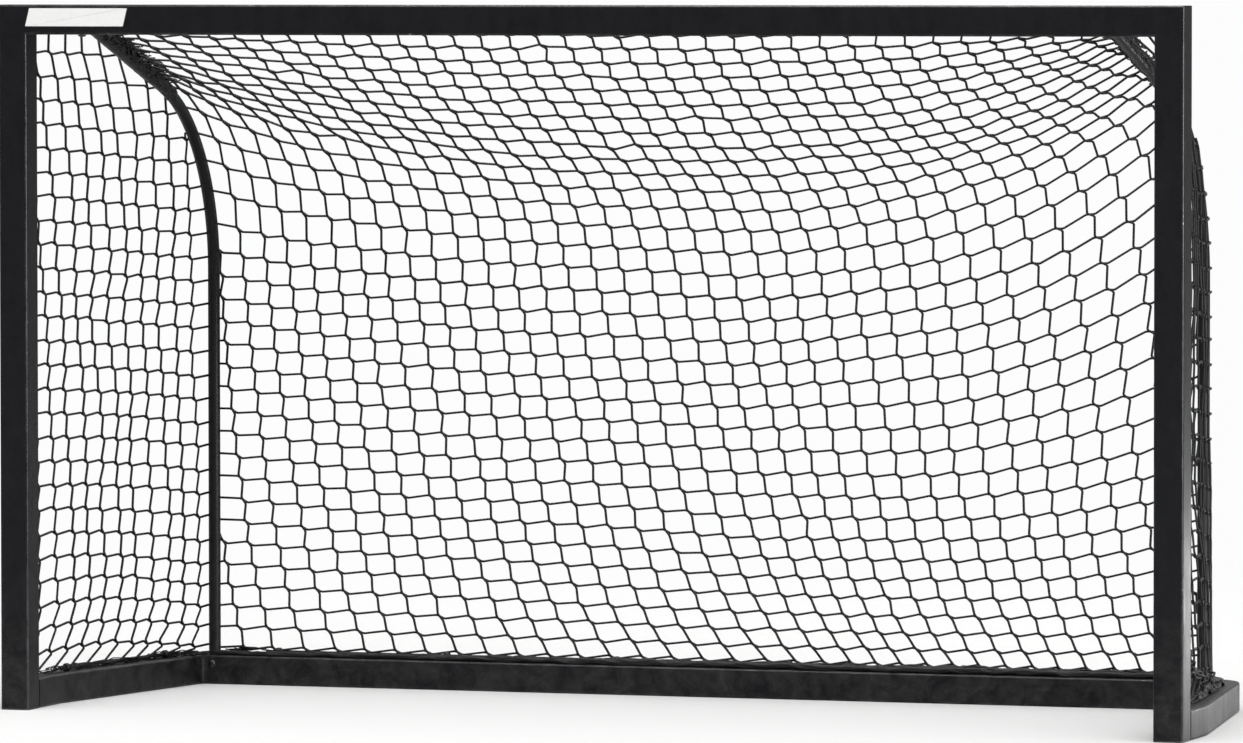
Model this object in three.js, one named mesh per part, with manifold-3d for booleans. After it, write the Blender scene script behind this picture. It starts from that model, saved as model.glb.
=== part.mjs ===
// Floorball goal: a welded square-tube mouth, a bolted base frame, two bent arches and a net.
// Millimetres, +Z up, the mouth faces -Y, the origin is under the middle of the goal.

import * as THREE from 'three';
import { mergeVertices } from 'three/addons/utils/BufferGeometryUtils.js';
import Module from 'manifold-3d';

const wasm = await Module();
wasm.setup();

// Mouth and base
const GOAL_WIDTH = 1390;
const GOAL_HEIGHT = 800;
const BASE_DEPTH = 448;
const REAR_CORNER_INSET = 51;
const RAIL_LEAD = 65;
const LEAD_BEND_RADIUS = 160;
const REAR_BEND_RADIUS = 24;
const REAR_SEAM_RUN = 68;

// Square tube
const TUBE_SIZE = 34;
const TUBE_WALL = 1.5;
const TUBE_CORNER = 3;

// Sleeves that join the base to the posts and the rear rail to its corners
const SLEEVE_WALL = 2;
const SLEEVE_CORNER = 2.5;
const FRONT_SLEEVE_LENGTH = 52;
const REAR_SLEEVE_GRIP = 15;
const REAR_SLEEVE_REACH = 45;

// Arches
const ARCH_DIAMETER = 14;
const ARCH_WALL = 1.5;
const ARCH_FROM_CORNER = 25.5;
const ARCH_FROM_BACK = 24;
const ARCH_BEND_RADIUS = 226;
const ARCH_ROOF_ANGLE = THREE.MathUtils.degToRad(18);
const ARCH_TOP_DROP = 4;
const ARCH_FOOT_REACH = 28;
const ARCH_TOP_REACH = 16;

// Button-head screws
const SCREW_DIAMETER = 5;
const SCREW_HEAD_DIAMETER = 9.6;
const SCREW_HEAD_HEIGHT = 2.6;
const SCREW_SHANK = 11;
const FOOT_SCREW_HEIGHT = 24;
const TOP_SCREW_INSET = 22;
const SLEEVE_SCREW_INSET = 26;

// End plugs under the posts
const PLUG_FLANGE = 1.7;
const PLUG_DEPTH = 18;
const PLUG_WALL = 2;

// Rods that the edge of the net is threaded on, and the welded eyes that hold them
const ROD_DIAMETER = 4;
const ROD_HOOK_LENGTH = 9;
const ROD_BEND_RADIUS = 4;
const ROD_END_MARGIN = 16;
const EYE_WALL = 2.7;
const EYE_WIDTH = 7;
const EYE_PITCH = 210;
const EYE_WELD_DEPTH = 0.6;
const CROSSBAR_ROD_DROP = 14;

// Net
const NET_STRAND = 3;
const NET_THICKNESS = 2.4;
const NET_SAG = 106;
const NET_SIDE_BOW = 25;
const NET_EDGE_CLEARANCE = 0.5;
const REAR_COLUMNS = 16;
const WALL_ROWS = 6;
const BEND_ROWS = 2;
const ROOF_ROWS = 3;
const SIDE_COLUMNS = 5;
const SIDE_ROWS = 10;

// Bare label plate on the crossbar
const LABEL_LENGTH = 121;
const LABEL_HEIGHT = 20.5;
const LABEL_LEAN = 5.5;
const LABEL_THICKNESS = 0.5;
const LABEL_FROM_SIDE = 32;
const LABEL_FROM_TOP = 4;

// Fits and facets
const GAP = 0.3;
const OVERRUN = 5;
const MERGE_DISTANCE = 0.001;
const CORNER_STEPS = 3;
const ROUND_SIDES = 12;
const EYE_SIDES = 8;
const ARCH_BEND_STEPS = 14;
const RAIL_BEND_STEPS = 9;
const LEAD_BEND_STEPS = 3;
const SAG_POWER = 1.2;
const SPAN_POWER = 3;
const SLOPE_STEP_SHARE = 0.001;

// Places worked out from the sizes above
const HALF_TUBE = TUBE_SIZE / 2;
const BORE = TUBE_SIZE - 2 * TUBE_WALL;
const POST_X = GOAL_WIDTH / 2 - HALF_TUBE;
const POST_BOTTOM = PLUG_FLANGE + GAP;
const CROSSBAR_Z = GOAL_HEIGHT - HALF_TUBE;
const RAIL_CORNER_X = POST_X - REAR_CORNER_INSET;
const REAR_RAIL_Y = BASE_DEPTH - HALF_TUBE;
const RAIL_START_Y = TUBE_SIZE + GAP;
const LEAD_END_Y = TUBE_SIZE + RAIL_LEAD;
const SEAM_X = RAIL_CORNER_X - REAR_SEAM_RUN;
const ARCH_X = RAIL_CORNER_X - ARCH_FROM_CORNER;
const ARCH_SETBACK = BASE_DEPTH - ARCH_FROM_BACK;
const ARCH_RADIUS = ARCH_DIAMETER / 2;
const ARCH_SLOPE = Math.tan(ARCH_ROOF_ANGLE);
const ARCH_TOP_Z = CROSSBAR_Z - ARCH_TOP_DROP;
const ROD_RADIUS = ROD_DIAMETER / 2;
const EYE_BORE = ROD_RADIUS + GAP;
const EYE_RADIUS = EYE_BORE + EYE_WALL;
const ROD_STANDOFF = EYE_RADIUS - EYE_WELD_DEPTH;
const BASE_ROD_Z = TUBE_SIZE + ROD_STANDOFF;
const POST_ROD_Y = TUBE_SIZE + ROD_STANDOFF;
const CROSSBAR_ROD_Z = GOAL_HEIGHT - CROSSBAR_ROD_DROP;
const NET_TURN = Math.PI / 2 - ARCH_ROOF_ANGLE;
const NET_CHORD_HALF_ANGLE = NET_TURN / (4 * BEND_ROWS);
const NET_SEAT = ARCH_RADIUS + GAP + NET_THICKNESS / 2;
const NET_CHORD_RISE = (ARCH_BEND_RADIUS + NET_SEAT) * (1 / Math.cos(NET_CHORD_HALF_ANGLE) - 1);
const NET_STANDOFF = NET_SEAT + NET_CHORD_RISE;
const NET_BOTTOM_Z = BASE_ROD_Z + EYE_RADIUS + NET_EDGE_CLEARANCE;
const NET_FRONT_Y = POST_ROD_Y + EYE_RADIUS + GAP + NET_THICKNESS / 2;
const NET_WALL_Y = ARCH_SETBACK + NET_STANDOFF;

const point = (x, y, z) => new THREE.Vector3(x, y, z);

// A path whose steps are chosen stations, so that straight runs take one step and bends take more.
class StationPath extends THREE.Curve {
  constructor(stations) {
    super();
    this.stations = stations;
  }

  stationAt(share) {
    return this.stations[Math.round(share * (this.stations.length - 1))];
  }

  getPoint(share, target = new THREE.Vector3()) {
    return target.copy(this.stationAt(share).point);
  }

  getTangent(share, target = new THREE.Vector3()) {
    return target.copy(this.stationAt(share).tangent);
  }

  getUtoTmapping(share) {
    return share;
  }
}

// Stations of a run through the given corners, with each inner corner bent to its radius.
function bentStations(corners, bends) {
  const first = corners[0];
  const stations = [{ point: first, tangent: corners[1].clone().sub(first).normalize() }];
  bends.forEach(({ radius, steps }, i) => {
    const corner = corners[i + 1];
    const into = corner.clone().sub(corners[i]).normalize();
    const out = corners[i + 2].clone().sub(corner).normalize();
    const turn = into.angleTo(out);
    const axis = into.clone().cross(out).normalize();
    const inward = axis.cross(into);
    const start = corner.clone().addScaledVector(into, -radius * Math.tan(turn / 2));
    for (let step = 0; step <= steps; step++) {
      const angle = (turn * step) / steps;
      const place = start.clone();
      place.addScaledVector(into, radius * Math.sin(angle));
      place.addScaledVector(inward, radius * (1 - Math.cos(angle)));
      const heading = into.clone().multiplyScalar(Math.cos(angle));
      heading.addScaledVector(inward, Math.sin(angle)).normalize();
      stations.push({ point: place, tangent: heading });
    }
  });
  const last = corners[corners.length - 1];
  stations.push({ point: last, tangent: last.clone().sub(corners[corners.length - 2]).normalize() });
  return stations;
}

function sweep(section, stations) {
  return new THREE.ExtrudeGeometry(section, {
    steps: stations.length - 1,
    bevelEnabled: false,
    extrudePath: new StationPath(stations),
  });
}

function straightRun(section, start, end) {
  return sweep(section, bentStations([start, end], []));
}

function extrudeAlongY(shape, start, depth) {
  const geometry = new THREE.ExtrudeGeometry(shape, { depth, bevelEnabled: false });
  geometry.rotateX(Math.PI / 2);
  geometry.translate(0, start + depth, 0);
  return geometry;
}

// Sections
function roundedSquare(size, radius) {
  const flat = size / 2 - radius;
  const outline = [];
  for (let corner = 0; corner < 4; corner++) {
    const middle = (corner + 1 / 2) * Math.PI / 2;
    const centreX = Math.SQRT2 * flat * Math.cos(middle);
    const centreY = Math.SQRT2 * flat * Math.sin(middle);
    for (let step = 0; step <= CORNER_STEPS; step++) {
      const angle = (corner + step / CORNER_STEPS) * Math.PI / 2;
      outline.push(new THREE.Vector2(centreX + radius * Math.cos(angle), centreY + radius * Math.sin(angle)));
    }
  }
  return new THREE.Shape(outline);
}

function plainSquare(size) {
  const half = size / 2;
  return new THREE.Shape([
    new THREE.Vector2(-half, -half),
    new THREE.Vector2(half, -half),
    new THREE.Vector2(half, half),
    new THREE.Vector2(-half, half),
  ]);
}

function polygon(radius, sides) {
  return new THREE.Shape(Array.from({ length: sides }, (_, k) => {
    const angle = (2 * Math.PI * k) / sides;
    return new THREE.Vector2(radius * Math.cos(angle), radius * Math.sin(angle));
  }));
}

const SLEEVE_SIZE = BORE - 2 * GAP;
const FRAME_TUBE = { outside: roundedSquare(TUBE_SIZE, TUBE_CORNER), bore: plainSquare(BORE) };
const SLEEVE_TUBE = {
  outside: roundedSquare(SLEEVE_SIZE, SLEEVE_CORNER),
  bore: plainSquare(SLEEVE_SIZE - 2 * SLEEVE_WALL),
};
const PLUG_TUBE = {
  outside: roundedSquare(SLEEVE_SIZE, SLEEVE_CORNER),
  bore: plainSquare(SLEEVE_SIZE - 2 * PLUG_WALL),
};
const ARCH_TUBE = {
  outside: polygon(ARCH_RADIUS, ROUND_SIDES),
  bore: polygon(ARCH_RADIUS - ARCH_WALL, ROUND_SIDES),
};
const EYE_TUBE = { outside: polygon(EYE_RADIUS, EYE_SIDES), bore: polygon(EYE_BORE, EYE_SIDES) };
const ROD_SECTION = polygon(ROD_RADIUS, EYE_SIDES);

// Solids
function toSolid(geometry) {
  const bare = geometry.clone();
  bare.deleteAttribute('normal');
  bare.deleteAttribute('uv');
  const merged = mergeVertices(bare, MERGE_DISTANCE);
  return new wasm.Manifold(new wasm.Mesh({
    numProp: 3,
    vertProperties: new Float32Array(merged.attributes.position.array),
    triVerts: new Uint32Array(merged.index.array),
  }));
}

function toGeometry(solid) {
  const mesh = solid.getMesh();
  const geometry = new THREE.BufferGeometry();
  geometry.setAttribute('position', new THREE.BufferAttribute(mesh.vertProperties, 3));
  geometry.setIndex(new THREE.BufferAttribute(mesh.triVerts, 1));
  geometry.computeVertexNormals();
  return geometry;
}

function shaped(body, added, removed) {
  let solid = body;
  added.forEach((piece) => { solid = solid.add(piece); });
  removed.forEach((piece) => { solid = solid.subtract(piece); });
  return toGeometry(solid);
}

// A tube along a run of stations, with a bore that runs on past both ends before it is cut.
function tubeAlong({ outside, bore }, stations) {
  const ends = [0, stations.length - 1];
  const longer = stations.map(({ point: place, tangent }, i) => ({
    point: place.clone().addScaledVector(tangent, ends.includes(i) ? Math.sign(i - 1 / 2) * OVERRUN : 0),
    tangent,
  }));
  return toSolid(sweep(outside, stations)).subtract(toSolid(sweep(bore, longer)));
}

function straightTube(tube, start, end) {
  return tubeAlong(tube, bentStations([start, end], []));
}

function roundCutter(radius, start, end) {
  return toSolid(straightRun(polygon(radius, ROUND_SIDES), start, end));
}

// Welded eyes in an even row from one end of a run to the other.
function eyeRow(start, end) {
  const run = end.clone().sub(start);
  const along = run.clone().normalize();
  const spaces = Math.max(1, Math.round(run.length() / EYE_PITCH));
  return Array.from({ length: spaces + 1 }, (_, k) => {
    const centre = start.clone().addScaledVector(run, k / spaces);
    const from = centre.clone().addScaledVector(along, -EYE_WIDTH / 2);
    const to = centre.clone().addScaledVector(along, EYE_WIDTH / 2);
    return straightTube(EYE_TUBE, from, to);
  });
}

// The lines that the rods lie on, from the first eye to the last.
function postRodLine(side) {
  const x = side * POST_X;
  return [point(x, POST_ROD_Y, TUBE_SIZE * 2), point(x, POST_ROD_Y, GOAL_HEIGHT - TUBE_SIZE * 2)];
}

function crossbarRodLine() {
  const reach = ARCH_X - TUBE_SIZE;
  return [point(-reach, POST_ROD_Y, CROSSBAR_ROD_Z), point(reach, POST_ROD_Y, CROSSBAR_ROD_Z)];
}

function railPlace(side, share) {
  const from = point(side * POST_X, LEAD_END_Y, BASE_ROD_Z);
  const to = point(side * RAIL_CORNER_X, REAR_RAIL_Y, BASE_ROD_Z);
  return from.lerp(to, share);
}

const RAIL_ROD_START_SHARE = 0.12;
const RAIL_ROD_END_SHARE = 0.78;

function railRodLine(side) {
  return [railPlace(side, RAIL_ROD_START_SHARE), railPlace(side, RAIL_ROD_END_SHARE)];
}

function rearRodLine() {
  const reach = SEAM_X - TUBE_SIZE;
  return [point(-reach, NET_WALL_Y, BASE_ROD_Z), point(reach, NET_WALL_Y, BASE_ROD_Z)];
}

// Screws stand in their own group, head on top and shank down, with the head's seat at zero.
const SCREW_CROWN_SHARE = 0.55;
const SCREW_SHOULDER_SHARE = 0.45;
const SCREW_TIP_RADIUS_SHARE = 0.7;
const SCREW_TIP_LENGTH_SHARE = 0.12;

function screwGeometry() {
  const head = SCREW_HEAD_DIAMETER / 2;
  const shank = SCREW_DIAMETER / 2;
  const outline = [
    [0, -SCREW_SHANK],
    [shank * SCREW_TIP_RADIUS_SHARE, -SCREW_SHANK],
    [shank, -SCREW_SHANK * (1 - SCREW_TIP_LENGTH_SHARE)],
    [shank, GAP],
    [head, GAP],
    [head, SCREW_HEAD_HEIGHT * SCREW_SHOULDER_SHARE],
    [head * SCREW_CROWN_SHARE, SCREW_HEAD_HEIGHT],
    [0, SCREW_HEAD_HEIGHT],
  ].map(([radius, height]) => new THREE.Vector2(radius, height));
  const geometry = new THREE.LatheGeometry(outline, ROUND_SIDES);
  geometry.rotateX(Math.PI / 2);
  return geometry;
}

// Where each screw's head sits, and the way its shank points.
const SCREW_SEATS = {
  front: (side) => ({
    seat: point(side * POST_X, RAIL_START_Y + SLEEVE_SCREW_INSET, TUBE_SIZE),
    shank: point(0, 0, -1),
  }),
  rear: (side) => ({
    seat: point(side * (SEAM_X - SLEEVE_SCREW_INSET), BASE_DEPTH, HALF_TUBE),
    shank: point(0, -1, 0),
  }),
  foot: (side) => ({
    seat: point(side * ARCH_X, BASE_DEPTH - TUBE_SIZE, FOOT_SCREW_HEIGHT),
    shank: point(0, 1, 0),
  }),
  top: (side) => ({
    seat: point(side * ARCH_X, TOP_SCREW_INSET, GOAL_HEIGHT - TUBE_SIZE),
    shank: point(0, 0, 1),
  }),
};

function screwHole({ seat, shank }) {
  const from = seat.clone().addScaledVector(shank, -OVERRUN);
  const to = seat.clone().addScaledVector(shank, SCREW_SHANK + GAP);
  return roundCutter(SCREW_DIAMETER / 2 + GAP, from, to);
}

// Welded mouth: two posts and a crossbar, mitred where they meet
function mitreCutter(side, keepsPost) {
  const outer = side * (GOAL_WIDTH / 2);
  const slack = side * GAP * Math.SQRT1_2 * (keepsPost ? 1 : -1);
  const shape = new THREE.Shape();
  shape.moveTo(outer + side * OVERRUN + slack, GOAL_HEIGHT + OVERRUN);
  shape.lineTo(outer - side * (TUBE_SIZE + OVERRUN) + slack, GOAL_HEIGHT - TUBE_SIZE - OVERRUN);
  if (keepsPost) {
    shape.lineTo(outer - side * (TUBE_SIZE + OVERRUN) + slack, GOAL_HEIGHT + OVERRUN);
  } else {
    shape.lineTo(outer + side * OVERRUN + slack, GOAL_HEIGHT - TUBE_SIZE - OVERRUN);
  }
  shape.closePath();
  return toSolid(extrudeAlongY(shape, -OVERRUN, TUBE_SIZE + 2 * OVERRUN));
}

function postGeometry(side) {
  const x = side * POST_X;
  const tube = straightTube(FRAME_TUBE, point(x, HALF_TUBE, POST_BOTTOM), point(x, HALF_TUBE, GOAL_HEIGHT));
  return shaped(tube, eyeRow(...postRodLine(side)), [mitreCutter(side, true)]);
}

function crossbarGeometry() {
  const end = GOAL_WIDTH / 2;
  const tube = straightTube(FRAME_TUBE, point(-end, HALF_TUBE, CROSSBAR_Z), point(end, HALF_TUBE, CROSSBAR_Z));
  const cuts = [-1, 1].flatMap((side) => [
    mitreCutter(side, false),
    archCutter(side, 'top'),
    screwHole(SCREW_SEATS.top(side)),
  ]);
  return shaped(tube, eyeRow(...crossbarRodLine()), cuts);
}

// Base: two bent side rails, the rear rail between them and the sleeves inside
function sideRailGeometry(side) {
  const stations = bentStations([
    point(side * POST_X, RAIL_START_Y, HALF_TUBE),
    point(side * POST_X, LEAD_END_Y, HALF_TUBE),
    point(side * RAIL_CORNER_X, REAR_RAIL_Y, HALF_TUBE),
    point(side * SEAM_X, REAR_RAIL_Y, HALF_TUBE),
  ], [
    { radius: LEAD_BEND_RADIUS, steps: LEAD_BEND_STEPS },
    { radius: REAR_BEND_RADIUS, steps: RAIL_BEND_STEPS },
  ]);
  const cuts = [
    archCutter(side, 'foot'),
    screwHole(SCREW_SEATS.front(side)),
    screwHole(SCREW_SEATS.foot(side)),
  ];
  return shaped(tubeAlong(FRAME_TUBE, stations), eyeRow(...railRodLine(side)), cuts);
}

function rearRailGeometry() {
  const end = SEAM_X - GAP;
  const tube = straightTube(FRAME_TUBE, point(-end, REAR_RAIL_Y, HALF_TUBE), point(end, REAR_RAIL_Y, HALF_TUBE));
  const holes = [-1, 1].map((side) => screwHole(SCREW_SEATS.rear(side)));
  return shaped(tube, eyeRow(...rearRodLine()), holes);
}

function frontSleeveGeometry(side) {
  const start = point(side * POST_X, RAIL_START_Y, HALF_TUBE);
  const end = point(side * POST_X, RAIL_START_Y + FRONT_SLEEVE_LENGTH, HALF_TUBE);
  return shaped(straightTube(SLEEVE_TUBE, start, end), [], [screwHole(SCREW_SEATS.front(side))]);
}

function rearSleeveGeometry(side) {
  const start = point(side * (SEAM_X + REAR_SLEEVE_GRIP), REAR_RAIL_Y, HALF_TUBE);
  const end = point(side * (SEAM_X - REAR_SLEEVE_REACH), REAR_RAIL_Y, HALF_TUBE);
  return shaped(straightTube(SLEEVE_TUBE, start, end), [], [screwHole(SCREW_SEATS.rear(side))]);
}

function endPlugGeometry(side) {
  const at = (z) => point(side * POST_X, HALF_TUBE, z);
  const flange = toSolid(straightRun(FRAME_TUBE.outside, at(0), at(PLUG_FLANGE)));
  return shaped(flange, [straightTube(PLUG_TUBE, at(PLUG_FLANGE / 2), at(PLUG_FLANGE + PLUG_DEPTH))], []);
}

// Arches: up from the rear corners, bent forward and down to the back of the crossbar
function archCorners(side) {
  const roofZ = (y) => ARCH_TOP_Z + (TUBE_SIZE - y) * ARCH_SLOPE;
  const topY = TUBE_SIZE - ARCH_TOP_REACH;
  return [
    point(side * ARCH_X, ARCH_SETBACK, TUBE_SIZE - ARCH_FOOT_REACH),
    point(side * ARCH_X, ARCH_SETBACK, roofZ(ARCH_SETBACK)),
    point(side * ARCH_X, topY, roofZ(topY)),
  ];
}

function archGeometry(side) {
  const stations = bentStations(archCorners(side), [{ radius: ARCH_BEND_RADIUS, steps: ARCH_BEND_STEPS }]);
  const holes = [screwHole(SCREW_SEATS.foot(side)), screwHole(SCREW_SEATS.top(side))];
  return shaped(tubeAlong(ARCH_TUBE, stations), [], holes);
}

function archCutter(side, end) {
  const [foot, bend, top] = archCorners(side);
  const tip = end === 'foot' ? foot : top;
  const along = tip.clone().sub(bend).normalize();
  const from = tip.clone().addScaledVector(along, -TUBE_SIZE);
  return roundCutter(ARCH_RADIUS + GAP, from, tip.clone().addScaledVector(along, GAP));
}

// Rods, each with one end turned over so that it can't slide out of its eyes
function rodGeometry([first, last], hookWay) {
  const along = last.clone().sub(first).normalize();
  const start = first.clone().addScaledVector(along, -ROD_END_MARGIN);
  const corner = last.clone().addScaledVector(along, ROD_END_MARGIN);
  const hook = corner.clone().addScaledVector(hookWay, ROD_HOOK_LENGTH);
  return sweep(ROD_SECTION, bentStations([start, corner, hook], [{ radius: ROD_BEND_RADIUS, steps: 3 }]));
}

// Net: flat strands crossing in a grid, bent over a surface and thickened both ways
function strandLines(count, widthShare) {
  const lines = [];
  for (let k = 0; k <= count; k++) {
    const middle = Math.min(Math.max(k / count, widthShare / 2), 1 - widthShare / 2);
    lines.push(middle - widthShare / 2, middle + widthShare / 2);
  }
  return lines;
}

function netGeometry(columns, rows, width, height, surface) {
  const across = strandLines(columns, NET_STRAND / width);
  const up = strandLines(rows, NET_STRAND / height);
  const places = [];
  const slope = SLOPE_STEP_SHARE;
  across.forEach((u) => up.forEach((v) => {
    const alongU = surface(u + slope, v).sub(surface(u - slope, v));
    const alongV = surface(u, v + slope).sub(surface(u, v - slope));
    const lift = alongU.cross(alongV).setLength(NET_THICKNESS / 2);
    const middle = surface(u, v);
    places.push(...middle.clone().sub(lift).toArray(), ...middle.clone().add(lift).toArray());
  }));
  const corner = (a, b, face) => (a * up.length + b) * 2 + face;
  const isSolid = (a, b) => {
    const inside = a >= 0 && b >= 0 && a < across.length - 1 && b < up.length - 1;
    return inside && (a % 2 === 0 || b % 2 === 0);
  };
  const faces = [];
  const quad = (p, q, r, s) => faces.push(p, q, r, p, r, s);
  for (let a = 0; a < across.length - 1; a++) {
    for (let b = 0; b < up.length - 1; b++) {
      if (!isSolid(a, b)) continue;
      const ring = [[a, b], [a + 1, b], [a + 1, b + 1], [a, b + 1]];
      const beyond = [[a, b - 1], [a + 1, b], [a, b + 1], [a - 1, b]];
      quad(...ring.map(([i, j]) => corner(i, j, 1)));
      quad(...ring.slice().reverse().map(([i, j]) => corner(i, j, 0)));
      beyond.forEach(([i, j], k) => {
        if (isSolid(i, j)) return;
        const [p, q] = [ring[k], ring[(k + 1) % ring.length]];
        quad(corner(...p, 0), corner(...q, 0), corner(...q, 1), corner(...p, 1));
      });
    }
  }
  const geometry = new THREE.BufferGeometry();
  geometry.setAttribute('position', new THREE.Float32BufferAttribute(places, 3));
  geometry.setIndex(faces);
  geometry.computeVertexNormals();
  return geometry;
}

// The run of the net over the arches, from the rear rail up and forward to the crossbar.
const NET_RUN = (() => {
  const roofZ = (y) => ARCH_TOP_Z + NET_STANDOFF / Math.cos(ARCH_ROOF_ANGLE) + (TUBE_SIZE - y) * ARCH_SLOPE;
  const radius = ARCH_BEND_RADIUS + NET_STANDOFF;
  const tangentRun = radius * Math.tan(NET_TURN / 2);
  const wall = roofZ(NET_WALL_Y) - tangentRun - NET_BOTTOM_Z;
  const bend = radius * NET_TURN;
  const roof = (NET_WALL_Y - NET_FRONT_Y) / Math.cos(ARCH_ROOF_ANGLE) - tangentRun;
  return { radius, wall, bend, roof, total: wall + bend + roof };
})();

// Place on that run, in a plane square to the crossbar, and the way into the goal.
function netRunAt(distance) {
  const { radius, wall, bend } = NET_RUN;
  const angle = Math.min(Math.max((distance - wall) / radius, 0), bend / radius);
  const rise = Math.min(distance, wall);
  const forward = Math.max(distance - wall - bend, 0);
  const y = NET_WALL_Y - radius * (1 - Math.cos(angle)) - forward * Math.sin(angle);
  const z = NET_BOTTOM_Z + rise + radius * Math.sin(angle) + forward * Math.cos(angle);
  return { y, z, inwardY: -Math.cos(angle), inwardZ: -Math.sin(angle) };
}

function rearNetGeometry(from, to, rows) {
  const start = from + GAP / 2;
  const length = to - GAP / 2 - start;
  const width = 2 * ARCH_X + ARCH_RADIUS;
  const seatShare = ARCH_DIAMETER / width;
  const surface = (u, v) => {
    const distance = start + length * v;
    const place = netRunAt(distance);
    const alongShare = Math.min(Math.max(distance / NET_RUN.total, 0), 1);
    const spanShare = Math.min(Math.max((u - seatShare) / (1 - 2 * seatShare), 0), 1);
    const sagAcross = 1 - Math.abs(2 * spanShare - 1) ** SPAN_POWER;
    const sag = NET_SAG * sagAcross * Math.sin(Math.PI * alongShare ** SAG_POWER);
    return point((u - 1 / 2) * width, place.y + sag * place.inwardY, place.z + sag * place.inwardZ);
  };
  return netGeometry(REAR_COLUMNS, rows, width, length, surface);
}

// Depth of an arch's centre line at a height, for the edge of a side net.
function archDepthAt(z) {
  const [, bend] = archCorners(1);
  const bendBottom = bend.z - ARCH_BEND_RADIUS * Math.tan(NET_TURN / 2);
  const bendTop = bendBottom + ARCH_BEND_RADIUS * Math.sin(NET_TURN);
  if (z <= bendBottom) return ARCH_SETBACK;
  if (z >= bendTop) return TUBE_SIZE + (ARCH_TOP_Z - z) / ARCH_SLOPE;
  const angle = Math.asin((z - bendBottom) / ARCH_BEND_RADIUS);
  return ARCH_SETBACK - ARCH_BEND_RADIUS * (1 - Math.cos(angle));
}

function sideNetGeometry(side) {
  const top = ARCH_TOP_Z - ARCH_RADIUS - GAP;
  const height = top - NET_BOTTOM_Z;
  const archEdge = ARCH_X + ARCH_RADIUS + NET_THICKNESS;
  const width = ARCH_SETBACK - NET_FRONT_Y;
  const surface = (u, v) => {
    const z = NET_BOTTOM_Z + height * v;
    const y = THREE.MathUtils.lerp(NET_FRONT_Y, archDepthAt(z), u);
    const bow = 4 * u * (1 - u) * NET_SIDE_BOW * (1 - v) ** 2;
    return point(side * (THREE.MathUtils.lerp(POST_X, archEdge, u) + bow), y, z);
  };
  const outward = side > 0 ? surface : (u, v) => surface(u, 1 - v);
  return netGeometry(SIDE_COLUMNS, SIDE_ROWS, width, height, outward);
}

// Label plate: a leaning parallelogram, bare
function labelGeometry() {
  const left = LABEL_FROM_SIDE - GOAL_WIDTH / 2;
  const top = GOAL_HEIGHT - LABEL_FROM_TOP;
  const shape = new THREE.Shape();
  shape.moveTo(left, top - LABEL_HEIGHT);
  shape.lineTo(left + LABEL_LENGTH, top - LABEL_HEIGHT);
  shape.lineTo(left + LABEL_LENGTH + LABEL_LEAN, top);
  shape.lineTo(left + LABEL_LEAN, top);
  shape.closePath();
  return extrudeAlongY(shape, -LABEL_THICKNESS, LABEL_THICKNESS);
}

// Finishes
const finish = (color, roughness, metalness) => () => (
  new THREE.MeshStandardMaterial({ color, roughness, metalness })
);
const frameCoat = finish(0x232428, 0.45, 0.2);
const archCoat = finish(0x1e1f22, 0.5, 0.2);
const zincSteel = finish(0x3a3b3e, 0.4, 0.9);
const plugPlastic = finish(0x151515, 0.6, 0);
const netCord = finish(0x121212, 0.85, 0);
const labelFilm = finish(0xf4f3ee, 0.4, 0);

const goal = new THREE.Group();
goal.position.y = -(BASE_DEPTH + SCREW_HEAD_HEIGHT - LABEL_THICKNESS) / 2;

function addPiece(name, geometry, material) {
  const mesh = new THREE.Mesh(geometry, material());
  mesh.name = name;
  goal.add(mesh);
  return mesh;
}

function addScrew(name, { seat, shank }) {
  const mesh = addPiece(name, screwGeometry(), zincSteel);
  mesh.position.copy(seat);
  mesh.quaternion.setFromUnitVectors(point(0, 0, -1), shank);
}

[['left', -1], ['right', 1]].forEach(([name, side]) => {
  const inward = point(-side, 0, 0);
  addPiece(`${name}_post`, postGeometry(side), frameCoat);
  addPiece(`${name}_side_rail`, sideRailGeometry(side), frameCoat);
  addPiece(`${name}_front_sleeve`, frontSleeveGeometry(side), zincSteel);
  addPiece(`${name}_rear_sleeve`, rearSleeveGeometry(side), zincSteel);
  addPiece(`${name}_post_end_plug`, endPlugGeometry(side), plugPlastic);
  addPiece(`${name}_arch`, archGeometry(side), archCoat);
  addScrew(`${name}_front_sleeve_screw`, SCREW_SEATS.front(side));
  addScrew(`${name}_rear_sleeve_screw`, SCREW_SEATS.rear(side));
  addScrew(`${name}_arch_foot_screw`, SCREW_SEATS.foot(side));
  addScrew(`${name}_arch_top_screw`, SCREW_SEATS.top(side));
  addPiece(`${name}_post_net_rod`, rodGeometry(postRodLine(side), inward), zincSteel);
  addPiece(`${name}_rail_net_rod`, rodGeometry(railRodLine(side), inward), zincSteel);
  addPiece(`${name}_side_net`, sideNetGeometry(side), netCord);
});

addPiece('crossbar', crossbarGeometry(), frameCoat);
addPiece('rear_rail', rearRailGeometry(), frameCoat);
addPiece('crossbar_net_rod', rodGeometry(crossbarRodLine(), point(0, 0, -1)), zincSteel);
addPiece('rear_rail_net_rod', rodGeometry(rearRodLine(), point(0, 1, 0)), zincSteel);
addPiece('label_plate', labelGeometry(), labelFilm);

const BEND_MIDDLE = NET_RUN.wall + NET_RUN.bend / 2;
const BEND_END = NET_RUN.wall + NET_RUN.bend;
addPiece('rear_net', rearNetGeometry(0, NET_RUN.wall, WALL_ROWS), netCord);
addPiece('shoulder_net', rearNetGeometry(NET_RUN.wall, BEND_MIDDLE, BEND_ROWS), netCord);
addPiece('crown_net', rearNetGeometry(BEND_MIDDLE, BEND_END, BEND_ROWS), netCord);
addPiece('roof_net', rearNetGeometry(BEND_END, NET_RUN.total, ROOF_ROWS), netCord);

export default goal;
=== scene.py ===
"""Floorball goal: a square-tube mouth and base, two bent arches and a black knotless net."""

import math
import random

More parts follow.
